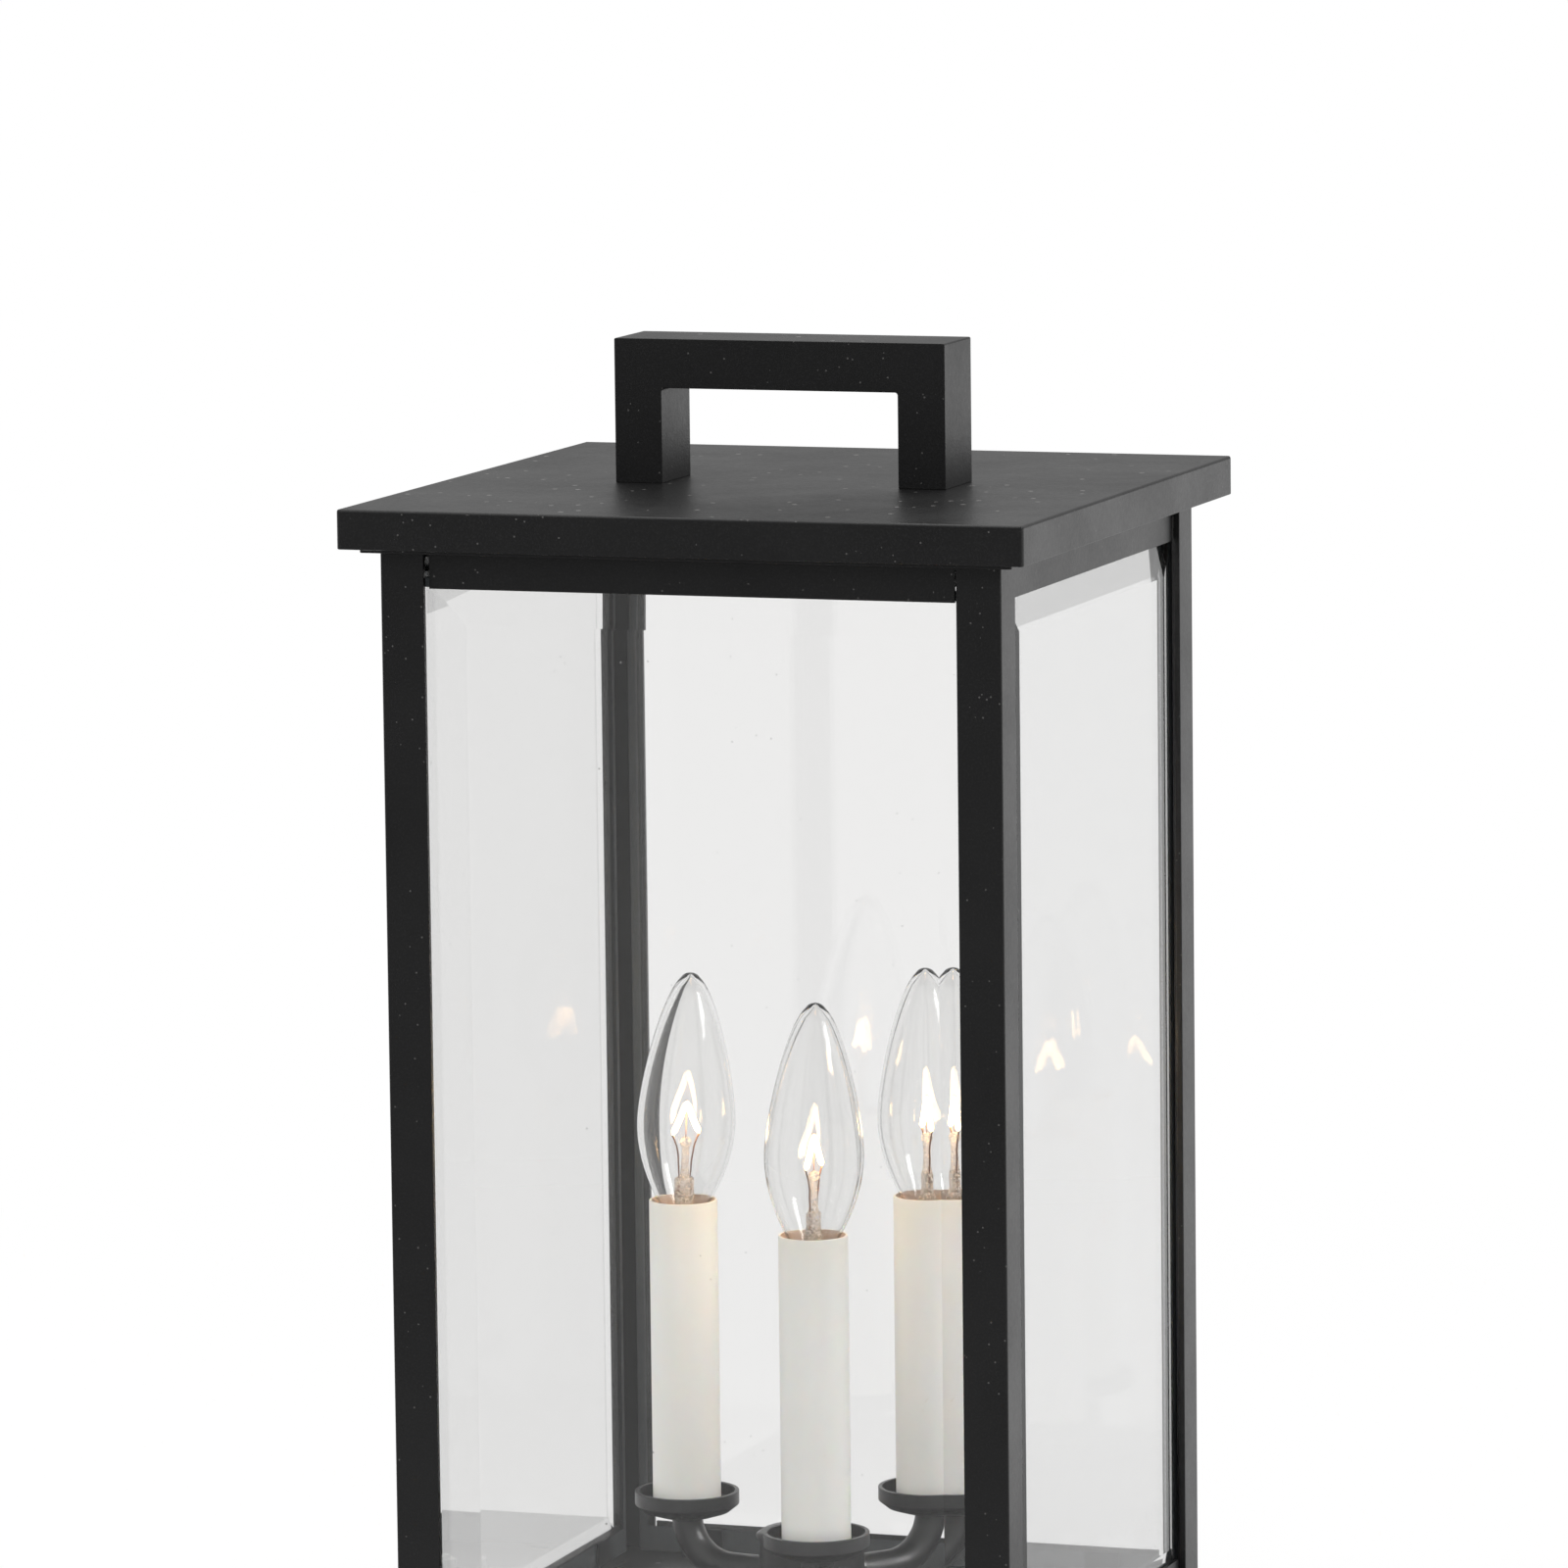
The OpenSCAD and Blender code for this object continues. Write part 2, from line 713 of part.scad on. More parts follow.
module socket_shell(i) {
  color([0.75, 0.6, 0.3])
    at_candle(i)
      difference() {
        translate([0, 0, contact_z - 1 + seat]) cylinder(r = shell_r, h = socket_top - contact_z + 0.5);
        translate([0, 0, contact_z]) cylinder(r = shell_r - shell_t, h = socket_h);
      }
}

module sleeve(i) {
  color([0.93, 0.91, 0.85])
    at_candle(i)
      translate([0, 0, cup_floor])
        difference() {
          cylinder(d = sleeve_d, h = sleeve_l, $fn = 96);
          translate([0, 0, -cut])
            cylinder(r = sleeve_d / 2 - sleeve_t, h = sleeve_l + 2 * cut, $fn = 96);
        }
}

// ---- lamps ----

// the glass leans about the middle of its neck, which stays level on the base
module leaning(i) {
  difference() {
    translate([0, 0, neck_z])
      rotate([0, 0, -candle_turn(i)]) rotate([0, lamp_lean[i], 0]) rotate([0, 0, candle_turn(i)])
        translate([0, 0, -neck_z]) children();
    translate([-8, -8, neck_z - 4]) cube([16, 16, 4]);
  }
}

module lamp_glass(i) {
  color([0.95, 0.97, 1, 0.35])
    at_candle(i) leaning(i)
      rotate_extrude($fn = 64)
        polygon(concat([[lamp_neck_r, neck_z - 1]], lamp_outline(0),
                       reversed(lamp_outline(lamp_t)), [[lamp_neck_r - lamp_t, neck_z - 1]]));
}

module lamp_base(i) {
  color([0.75, 0.6, 0.3])
    at_candle(i)
      translate([0, 0, neck_z - lamp_base_l])
        rotate_extrude()
          polygon([[0, 0], [2.2, 0], [2.4, 0.6], [2.4, 1.4], [4.6, 3], [base_r, 3.6],
                   [base_r, lamp_base_l - 1.2], [lamp_neck_r + 0.2, lamp_base_l], [0, lamp_base_l]]);
}

module lamp_stem(i) {
  color([0.9, 0.93, 0.95, 0.5])
    at_candle(i) leaning(i) rotate([0, 0, lamp_turn[i]]) {
      translate([0, 0, neck_z])
        rotate_extrude($fn = 32)
          polygon([[0, -1], [5.2, -1], [5.2, 0], [4, 1.2], [2.9, 4], [2.6, press_top - neck_z - 6.5],
                   [0, press_top - neck_z - 6.5]]);
      translate([-3.4, -1.4, press_top - 7]) cube([6.8, 2.8, 7]);
      translate([0, 0, press_top - 0.5]) cylinder(r = 0.9, h = button_z - press_top + 0.5, $fn = 20);
      translate([0, 0, button_z]) sphere(r = button_r, $fn = 24);
    }
}

module lamp_filament(i) {
  color([1, 0.85, 0.5])
    at_candle(i) leaning(i) rotate([0, 0, lamp_turn[i]])
      union() {
        translate([0, 0, tent_top]) sphere(r = 0.5, $fn = 16);
        rod([0, 0, button_z + button_r + seat], [0, 0, tent_top], 0.2);
        for (s = [-1, 1]) {
          rod([s * lead_foot_x, 0, press_top], [s * lead_bend_x, 0, button_z - 4], 0.3);
          translate([s * lead_bend_x, 0, button_z - 4]) sphere(r = 0.32, $fn = 16);
          rod([s * lead_bend_x, 0, button_z - 4], [s * lead_x, 0, lead_top], 0.3);
          translate([s * lead_x, 0, lead_top]) sphere(r = 0.4, $fn = 16);
          rod([s * lead_x, 0, lead_top], [0, 0, tent_top], 0.3);
        }
      }
}

roof_pan();
soffit_plate();
handle();
handle_bolts();
thumb_screw(-1);  // left_thumb_screw
thumb_screw(1);  // right_thumb_screw
post(0);  // front_left_post
post(1);  // front_right_post
post(2);  // back_right_post
post(3);  // back_left_post
top_frame();
bottom_frame();
pane(0);  // front_pane
pane(1);  // right_pane
pane(2);  // back_pane
pane(3);  // left_pane
upper_clips();
lower_clips();
base_pan();
plinth();
pier_plate();
plinth_screws();
base_screws();
base_nuts();
ground_screw();
centre_stem();
stem_nuts();
hub_body();
hub_cap();
hub_finial();
arm(0);  // front_arm
arm(1);  // right_arm
arm(2);  // left_arm
cup(0);  // front_cup
cup(1);  // right_cup
cup(2);  // left_cup
socket(0);  // front_socket
socket(1);  // right_socket
socket(2);  // left_socket
socket_shell(0);  // front_socket_shell
socket_shell(1);  // right_socket_shell
socket_shell(2);  // left_socket_shell
socket_straps();
arm_nuts();
wiring();
sleeve(0);  // front_sleeve
sleeve(1);  // right_sleeve
sleeve(2);  // left_sleeve
lamp_glass(0);  // front_lamp_glass
lamp_glass(1);  // right_lamp_glass
lamp_glass(2);  // left_lamp_glass
lamp_base(0);  // front_lamp_base
lamp_base(1);  // right_lamp_base
lamp_base(2);  // left_lamp_base
lamp_stem(0);  // front_lamp_stem
lamp_stem(1);  // right_lamp_stem
lamp_stem(2);  // left_lamp_stem
lamp_filament(0);  // front_lamp_filament
lamp_filament(1);  // right_lamp_filament
lamp_filament(2);  // left_lamp_filament
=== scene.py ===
"""Looks of a square pier lantern: powder-coated body, bevelled panes and three lit candles."""
import json
import math

import bmesh
import bpy
from bpy.props import FloatProperty, FloatVectorProperty, IntProperty, PointerProperty
from mathutils import Matrix, Vector, noise

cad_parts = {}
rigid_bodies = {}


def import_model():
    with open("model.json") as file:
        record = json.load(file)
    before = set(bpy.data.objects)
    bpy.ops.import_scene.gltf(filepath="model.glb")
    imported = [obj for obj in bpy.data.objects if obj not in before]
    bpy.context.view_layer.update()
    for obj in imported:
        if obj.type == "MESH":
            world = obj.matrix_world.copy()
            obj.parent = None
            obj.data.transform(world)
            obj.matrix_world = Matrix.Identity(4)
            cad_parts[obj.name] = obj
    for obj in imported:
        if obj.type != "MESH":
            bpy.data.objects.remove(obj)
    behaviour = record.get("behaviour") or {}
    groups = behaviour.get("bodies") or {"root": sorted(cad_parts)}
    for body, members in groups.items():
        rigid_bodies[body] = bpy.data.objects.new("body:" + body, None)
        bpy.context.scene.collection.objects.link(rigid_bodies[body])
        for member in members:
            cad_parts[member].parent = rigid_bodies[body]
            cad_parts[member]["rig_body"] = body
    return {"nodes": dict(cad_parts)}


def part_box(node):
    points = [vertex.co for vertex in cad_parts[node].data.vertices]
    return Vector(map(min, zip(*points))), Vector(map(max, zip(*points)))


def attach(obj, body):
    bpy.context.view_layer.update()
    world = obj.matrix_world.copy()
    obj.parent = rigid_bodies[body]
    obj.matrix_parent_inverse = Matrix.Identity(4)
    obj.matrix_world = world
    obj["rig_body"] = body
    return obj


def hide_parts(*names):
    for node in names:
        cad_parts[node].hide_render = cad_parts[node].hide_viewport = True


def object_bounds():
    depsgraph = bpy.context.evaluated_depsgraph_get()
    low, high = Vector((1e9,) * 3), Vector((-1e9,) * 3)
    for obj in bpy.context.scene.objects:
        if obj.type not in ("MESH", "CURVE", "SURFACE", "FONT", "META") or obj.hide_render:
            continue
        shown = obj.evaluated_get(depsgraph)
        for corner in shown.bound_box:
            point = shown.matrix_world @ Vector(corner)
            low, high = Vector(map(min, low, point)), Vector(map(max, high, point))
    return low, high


bl_info = {
    "name": "Pier Lantern Finish",
    "version": (1, 0, 0),
    "blender": (4, 5, 0),
    "location": "View3D > Sidebar > Lantern",
    "description": "Finishes a square pier lantern with bevelled panes and lit candles",
    "category": "Object",
}

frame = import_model()
cad_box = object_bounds()

CANDLES = ("front", "right", "left")
BODY = "body"
ROOF = "roof"
MM = 0.001
SODA_GLASS_IOR = 1.5
LEAD_GLASS_IOR = 1.54
BUTTON_R = 1.9 * MM


# ---- where the frame puts things ----

def centre_xy(node):
    low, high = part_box(node)
    return Vector(((low.x + high.x) / 2, (low.y + high.y) / 2, 0))


class Lamp:
    """Where a lamp's glass stands, its neck, length and lean, and the heights of its inner parts.

    The frame's filament gives its own direction, its apex and how far the leads spread, where
    beads stand for the hook and for the leads' ends.
    """
    HOOK_BEAD_R = 0.5 * MM
    LEAD_BEAD_R = 0.4 * MM

    def __init__(self, name):
        base = name + "_lamp_base"
        neck = centre_xy(base) + Vector((0, 0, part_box(base)[1].z))
        glass = frame["nodes"][name + "_lamp_glass"].data
        tip = max((v.co for v in glass.vertices), key=lambda p: (p - neck).length)
        lean = Vector((0, 0, 1)).rotation_difference(tip - neck).to_matrix().to_4x4()
        low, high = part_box(name + "_lamp_glass")
        self.neck = neck.z
        self.tip = neck.z + (tip - neck).length
        self.widest = (high.y - low.y) / 2
        self.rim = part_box(name + "_sleeve")[1].z
        self.press = self.rim + 7.7 * MM
        self.button = self.rim + 18.8 * MM
        self.lead_top = self.rim + 21.5 * MM
        self.at = Matrix.Translation(neck) @ lean @ Matrix.Translation((0, 0, -neck.z))
        wires = frame["nodes"][name + "_lamp_filament"].data
        back = self.at.inverted()
        points = [back @ v.co for v in wires.vertices]
        spread = sum((complex(d.x, d.y) ** 2 for d in points), 0j)
        self.apex = max(d.z for d in points) - self.HOOK_BEAD_R
        self.spread = max(math.hypot(d.x, d.y) for d in points) - self.LEAD_BEAD_R
        self.turned = self.at @ Matrix.Rotation(math.atan2(spread.imag, spread.real) / 2, 4, "Z")


# ---- shaders ----

class Sock:
    """A shader value that can be added, multiplied and compared as a number."""

    def __init__(self, tree, socket):
        self.tree = tree
        self.socket = socket

    def _math(self, operation, a, b=None):
        values = [a] if b is None else [a, b]
        return self.tree.add("ShaderNodeMath", {"operation": operation}, dict(enumerate(values)))

    def __add__(self, other):
        return self._math("ADD", self, other)

    def __radd__(self, other):
        return self._math("ADD", other, self)

    def __sub__(self, other):
        return self._math("SUBTRACT", self, other)

    def __rsub__(self, other):
        return self._math("SUBTRACT", other, self)

    def __mul__(self, other):
        return self._math("MULTIPLY", self, other)

    def __rmul__(self, other):
        return self._math("MULTIPLY", other, self)

    def __truediv__(self, other):
        return self._math("DIVIDE", self, other)

    def __pow__(self, other):
        return self._math("POWER", self, other)

    def __gt__(self, other):
        return self._math("GREATER_THAN", self, other)

    def __lt__(self, other):
        return self._math("LESS_THAN", self, other)

    def size(self):
        return self._math("ABSOLUTE", self)

    def at_most(self, other):
        return self._math("MINIMUM", self, other)

    def clamped(self, low=0.0, high=1.0):
        return self._math("MINIMUM", self._math("MAXIMUM", self, low), high)


class Tree:
    """A material's or world's node tree, built one node at a time."""

    def __init__(self, owner, kind="ShaderNodeOutputMaterial"):
        owner.use_nodes = True
        self.nodes = owner.node_tree.nodes
        self.links = owner.node_tree.links
        self.nodes.clear()
        self.output = self.nodes.new(kind)

    def add(self, kind, settings=None, inputs=None, out=0):
        node = self.nodes.new(kind)
        for key, value in (settings or {}).items():
            setattr(node, key, value)
        for key, value in (inputs or {}).items():
            self.feed(node.inputs[key], value)
        return Sock(self, node.outputs[out])

    def feed(self, socket, value):
        if isinstance(value, Sock):
            self.links.new(value.socket, socket)
        elif hasattr(socket.default_value, "__len__") and not hasattr(value, "__len__"):
            socket.default_value = [value] * len(socket.default_value)
        elif hasattr(value, "__len__") and len(value) == 3 and len(socket.default_value) == 4:
            socket.default_value = (*value, 1)
        else:
            socket.default_value = value

    def place(self):
        return self.add("ShaderNodeTexCoord", out="Object")

    def noise(self, scale, detail, rough, at):
        return self.add("ShaderNodeTexNoise", {}, {
            "Vector": at, "Scale": scale, "Detail": detail, "Roughness": rough})

    def blend(self, factor, a, b):
        """Mix of two colours."""
        return self.add("ShaderNodeMix", {"data_type": "RGBA"}, {0: factor, 6: a, 7: b}, out=2)

    def up(self):
        """How far the surface faces up, from 0 on a wall to 1 on a level top."""
        normal = self.add("ShaderNodeNewGeometry", out="Normal")
        return self.add("ShaderNodeSeparateXYZ", {}, {0: normal}, out="Z").clamped()

    def height(self, at):
        return self.add("ShaderNodeSeparateXYZ", {}, {0: at}, out="Z")

    def bump(self, height, depth, strength, normal=None):
        inputs = {"Height": height, "Distance": depth, "Strength": strength}
        if normal:
            inputs["Normal"] = normal
        return self.add("ShaderNodeBump", {}, inputs)

    def surface(self, **inputs):
        values = {key.replace("_", " "): value for key, value in inputs.items()}
        return self.add("ShaderNodeBsdfPrincipled", {}, values)

    def finish(self, shader):
        self.links.new(shader.socket, self.output.inputs["Surface"])


made = {}


def material(build):
    """Makes each material once."""
    def get():
        if build.__name__ not in made:
            made[build.__name__] = bpy.data.materials.new(build.__name__)
            build(Tree(made[build.__name__]))
        return made[build.__name__]
    return get


@material
def black_powder_coat(t):
    s = bpy.context.scene.lantern_paint
    at = t.place()
    cloud = t.noise(28, 4, 0.6, at)
    peel = t.noise(620, 2, 0.5, at)
    grit = t.noise(1500, 2, 0.6, at)
    cells, flecks = (t.add("ShaderNodeTexVoronoi", {}, {"Vector": at, "Scale": scale}, out="Distance")
                     for scale in (330, 135))
    chance = t.noise(120, 1, 0.5, at)
    dust = ((flecks < 0.12) * t.up() + (cells < 0.10) * 0.3) * (chance > 0.5)
    colour = t.blend(cloud, tuple(c * 0.7 for c in s.colour), tuple(c * 1.4 for c in s.colour))
    colour = t.blend(((grit - 0.5) * 3.0).clamped(), colour, tuple(c * 2.6 for c in s.colour))
    colour = t.blend(dust * s.dust, colour, (0.36, 0.35, 0.34))
    rough = (cloud - 0.5) * 0.20 + (peel - 0.5) * 0.10 + s.roughness
    normal = t.bump(grit, 0.00009, 0.6, t.bump(peel, 0.00010, s.texture))
    t.finish(t.surface(Base_Color=colour, Roughness=rough.clamped(0.2, 0.9), Normal=normal,
                       Specular_IOR_Level=0.5))


@material
def zinc_plate(t):
    at = t.place()
    cloud = t.noise(60, 4, 0.6, at)
    fine = t.noise(1500, 2, 0.6, at)
    stain = t.noise(220, 3, 0.7, at)
    colour = t.blend(cloud, (0.50, 0.51, 0.52), (0.66, 0.66, 0.65))
    colour = t.blend((stain - 0.55).clamped() * 1.2, colour, (0.52, 0.47, 0.36))
    t.finish(t.surface(Base_Color=colour, Metallic=1.0, Roughness=(cloud * 0.25 + 0.26).clamped(),
                       Normal=t.bump(fine, 0.00002, 0.4)))


@material
def spun_brass(t):
    at = t.place()
    cloud = t.noise(130, 4, 0.65, at)
    fine = t.noise(1800, 2, 0.6, at)
    colour = t.blend(cloud, (0.72, 0.53, 0.25), (0.86, 0.70, 0.40))
    colour = t.blend((t.noise(420, 3, 0.7, at) - 0.58).clamped() * 1.5, colour, (0.34, 0.21, 0.09))
    t.finish(t.surface(Base_Color=colour, Metallic=1.0, Roughness=(cloud * 0.22 + 0.18).clamped(),
                       Normal=t.bump(fine, 0.00001, 0.3)))


@material
def dark_moulding(t):
    at = t.place()
    cloud = t.noise(90, 3, 0.6, at)
    fine = t.noise(1300, 2, 0.6, at)
    colour = t.blend(cloud, (0.018, 0.012, 0.009), (0.05, 0.034, 0.024))
    t.finish(t.surface(Base_Color=colour, Roughness=(cloud * 0.2 + 0.28).clamped(),
                       Normal=t.bump(fine, 0.00002, 0.4)))


@material
def candle_plastic(t):
    s = bpy.context.scene.lantern_candle
    at = t.place()
    cloud = t.noise(45, 4, 0.6, at)
    fine = t.noise(1100, 2, 0.5, at)
    fleck = (t.noise(900, 1, 0.5, at) > 0.74) * 0.25
    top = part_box("front_sleeve")[1].z
    warm = ((t.height(at) - (top - 0.022)) / 0.022).clamped() ** 1.5
    colour = t.blend(cloud, s.colour, tuple(min(1.0, c * 1.05) for c in s.colour))
    colour = t.blend(warm * 0.35, colour, (0.86, 0.78, 0.64))
    colour = t.blend(fleck, colour, (0.70, 0.63, 0.52))
    t.finish(t.surface(Base_Color=colour, Roughness=(cloud * 0.16 + 0.36).clamped(),
                       Subsurface_Weight=0.25, Subsurface_Radius=(0.0035, 0.0022, 0.0012),
                       Normal=t.bump(fine, 0.00002, 0.35)))


# painted shade and a painted brown reflection: the sleeves' inner wall is a darker brown than their
# plastic, standing in for the shadowed inside of the tube
@material
def sleeve_inside_painted_shade(t):
    at = t.place()
    cloud = t.noise(160, 3, 0.6, at)
    colour = t.blend(cloud, (0.42, 0.31, 0.26), (0.56, 0.43, 0.36))
    t.finish(t.surface(Base_Color=colour, Roughness=(cloud * 0.2 + 0.4).clamped(),
                       Normal=t.bump(t.noise(1300, 2, 0.5, at), 0.00002, 0.35)))


@material
def white_insulation(t):
    at = t.place()
    cloud = t.noise(160, 3, 0.6, at)
    colour = t.blend(cloud, (0.62, 0.61, 0.57), (0.80, 0.79, 0.75))
    t.finish(t.surface(Base_Color=colour, Roughness=(cloud * 0.2 + 0.42).clamped(),
                       Normal=t.bump(t.noise(1500, 2, 0.5, at), 0.00002, 0.4)))


@material
def earth_green(t):
    at = t.place()
    cloud = t.noise(200, 3, 0.6, at)
    colour = t.blend(cloud, (0.02, 0.20, 0.06), (0.04, 0.31, 0.10))
    t.finish(t.surface(Base_Color=colour, Roughness=(cloud * 0.2 + 0.3).clamped(),
                       Normal=t.bump(t.noise(1500, 2, 0.5, at), 0.00002, 0.4)))


@material
def copper_lead(t):
    at = t.place()
    cloud = t.noise(500, 3, 0.6, at)
    colour = t.blend(cloud, (0.05, 0.022, 0.012), (0.30, 0.14, 0.07))
    t.finish(t.surface(Base_Color=colour, Metallic=0.85, Roughness=(cloud * 0.25 + 0.3).clamped()))


@material
def lit_filament(t):
    s = bpy.context.scene.lantern_lamp
    cloud = t.noise(700, 2, 0.5, t.place())
    glow = t.blend(cloud, s.glow, (1.0, min(1.0, s.glow[1] * 1.12), min(1.0, s.glow[2] * 1.3)))
    t.finish(t.surface(Base_Color=(0.3, 0.26, 0.2), Roughness=0.5, Emission_Color=glow,
                       Emission_Strength=s.power))


def clear_glass(t, colour, rough, ior, normal=None):
    """Glass that light from lamps passes straight through."""
    inputs = {"Base Color": colour, "Roughness": rough, "IOR": ior, "Transmission Weight": 1.0}
    if normal:
        inputs["Normal"] = normal
    glass = t.add("ShaderNodeBsdfPrincipled", {}, inputs)
    clear = t.add("ShaderNodeBsdfTransparent", {}, {"Color": (0.93, 0.94, 0.935)})
    shadow = t.add("ShaderNodeLightPath", out="Is Shadow Ray")
    return t.add("ShaderNodeMixShader", {}, {0: shadow, 1: glass, 2: clear})


@material
def bevelled_pane_glass(t):
    s = bpy.context.scene.lantern_glass
    at = t.place()
    film = t.noise(34, 4, 0.65, at)
    speck = (t.add("ShaderNodeTexVoronoi", {}, {"Vector": at, "Scale": 130}, out="Distance") < 0.045)
    speck = speck * (t.noise(40, 1, 0.5, at) > 0.56)
    colour = t.blend(film, tuple(c * 0.995 for c in s.tint), s.tint)
    colour = t.blend(speck * 0.5, colour, (0.42, 0.42, 0.41))
    facing = t.add("ShaderNodeLayerWeight", {}, {"Blend": 0.5}, out="Facing")
    # painted shade: the pane's colour turns grey at glancing views, standing in for the dark edges of the
    # glass
    colour = t.blend(facing ** 2, colour, (0.47, 0.475, 0.475))
    glass = clear_glass(t, colour, (speck * 0.25).clamped(), SODA_GLASS_IOR)
    # painted light: where a pane laps under the posts' flanges and the rails it is drawn as an opaque
    # grey surface, lighter than the black paint behind it, standing in for light carried along the glass
    # into the lap
    x = t.add("ShaderNodeSeparateXYZ", {}, {0: at}, out="X")
    y, z = (Sock(t, x.socket.node.outputs[axis]) for axis in "YZ")
    flange, lap = -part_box("front_left_post")[1].x, 0.0016
    laid = (x.size().at_most(y.size()) > flange + lap) + (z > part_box("top_frame")[0].z + 0.0003)
    laid = (laid + (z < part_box("bottom_frame")[1].z - lap)).clamped()
    grain = t.noise(1100, 3, 0.7, at)
    grey = t.blend(grain, (0.03, 0.034, 0.037), (0.09, 0.10, 0.105))
    painted_lap_light = t.surface(Base_Color=grey, Roughness=0.55, Normal=t.bump(grain, 0.0001, 0.6))
    t.finish(t.add("ShaderNodeMixShader", {}, {0: laid, 1: glass, 2: painted_lap_light}))


@material
def blown_lamp_glass(t):
    at = t.place()
    film = t.noise(60, 3, 0.6, at)
    colour = t.blend(film, (0.936, 0.936, 0.932), (0.950, 0.949, 0.946))
    facing = t.add("ShaderNodeLayerWeight", {}, {"Blend": 0.5}, out="Facing")
    # painted shade: near its outline the envelope's colour turns grey, painting the dark double edge
    # lines of the glass
    colour = t.blend(((facing - 0.80) * 7.0).clamped(), colour, (0.45, 0.46, 0.48))
    t.finish(clear_glass(t, colour, 0.0, SODA_GLASS_IOR))


@material
def pressed_stem_glass(t):
    at = t.place()
    swirl = t.noise(620, 3, 0.6, at)
    # painted shade: brown patches in the glass stand in for the dark edges that refraction draws in the
    # press
    colour = t.blend(((swirl - 0.34) * 9.0).clamped(), (0.60, 0.38, 0.28), (0.99, 0.985, 0.975))
    glass = clear_glass(t, colour, 0.0, LEAD_GLASS_IOR, t.bump(swirl, 0.0009, 1.0))
    # painted highlights: matt cream patches over the glass stand in for the glints of filament light in
    # the stem
    fine = t.noise(1500, 2, 0.5, at)
    highlight_tint = t.blend(fine, (0.85, 0.70, 0.60), (0.97, 0.93, 0.88))
    painted_highlights = t.surface(Base_Color=highlight_tint, Roughness=0.25)
    highlight_cover = ((fine - 0.46) * 9.0).clamped() * 0.6
    t.finish(t.add("ShaderNodeMixShader", {}, {0: highlight_cover, 1: glass, 2: painted_highlights}))


def sees(t, *kinds):
    """1 on the kinds of ray that are named, 0 on the rest."""
    path = t.add("ShaderNodeLightPath")
    total = 0.0
    for kind in kinds:
        total = total + Sock(t, path.socket.node.outputs[f"Is {kind} Ray"])
    return total.clamped()


def mirrored(t):
    """1 on rays that come from a reflection, 0 on those that pass through glass."""
    return sees(t, "Glossy") * (1 - sees(t, "Transmission"))


@material
def studio_floor(t):
    s = bpy.context.scene.lantern_stage
    at = t.place()
    cloud = t.noise(0.6, 3, 0.5, at)
    colour = t.blend(cloud, (0.86, 0.86, 0.86), (0.90, 0.90, 0.90))
    lit = t.add("ShaderNodeBsdfDiffuse", {}, {"Color": colour})
    parts = t.add("ShaderNodeSeparateXYZ", {}, {0: at}, out="Y")
    across = Sock(t, parts.socket.node.outputs["X"])
    far = (across * across + parts * parts) ** 0.5
    # near the object the floor keeps its shadow, further off it is plain white
    white = t.add("ShaderNodeEmission", {}, {"Color": (1, 1, 1), "Strength": 1.0})
    shine = t.blend(((parts + 0.7) / 1.2).clamped(), (s.front,) * 3, (s.back,) * 3)
    shine = t.add("ShaderNodeEmission", {}, {"Color": shine, "Strength": 1.0})
    share = sees(t, "Camera", "Transmission") * (s.floor_share + ((far - 0.9) / 1.2).clamped()).clamped()
    seen = t.add("ShaderNodeMixShader", {}, {0: share, 1: lit, 2: white})
    t.finish(t.add("ShaderNodeMixShader", {}, {0: mirrored(t) * 0.9, 1: seen, 2: shine}))


# ---- meshes ----

def new_piece(name, mesh, coat, body, nodes=()):
    obj = bpy.data.objects.new(name, mesh)
    bpy.context.scene.collection.objects.link(obj)
    for m in (coat if isinstance(coat, (list, tuple)) else [coat]):
        mesh.materials.append(m)
    if body:
        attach(obj, body)
    if nodes:
        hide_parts(*nodes)
    return obj


def smooth_by_angle(mesh, degrees):
    for polygon in mesh.polygons:
        polygon.use_smooth = True
    bm = bmesh.new()
    bm.from_mesh(mesh)
    limit = math.radians(degrees)
    for edge in bm.edges:
        if len(edge.link_faces) == 2:
            edge.smooth = edge.calc_face_angle(0) < limit
    bm.to_mesh(mesh)
    bm.free()


def eased(node, coat, width, segments=2, edge_angle=28):
    """The node's own solid with its sharp edges eased, as paint or polish leaves them."""
    source = frame["nodes"][node]
    bm = bmesh.new()
    bm.from_mesh(source.data)
    bmesh.ops.remove_doubles(bm, verts=bm.verts, dist=2e-6)
    bmesh.ops.dissolve_limit(bm, angle_limit=math.radians(1.0), verts=bm.verts, edges=bm.edges)
    if width:
        sharp = [e for e in bm.edges if len(e.link_faces) == 2
                 and e.calc_face_angle(0) > math.radians(edge_angle)]
        bmesh.ops.bevel(bm, geom=sharp, offset=width * MM, offset_type="OFFSET", segments=segments,
                        profile=0.5, affect="EDGES", clamp_overlap=True)
    bmesh.ops.triangulate(bm, faces=[f for f in bm.faces if len(f.verts) > 4])
    mesh = bpy.data.meshes.new(node + "_finished")
    bm.to_mesh(mesh)
    bm.free()
    smooth_by_angle(mesh, 30)
    obj = new_piece(node + "_finished", mesh, coat, source["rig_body"], [node])
    faces = obj.modifiers.new("faces stay flat", "WEIGHTED_NORMAL")
    faces.weight = 100
    faces.keep_sharp = True
    return obj


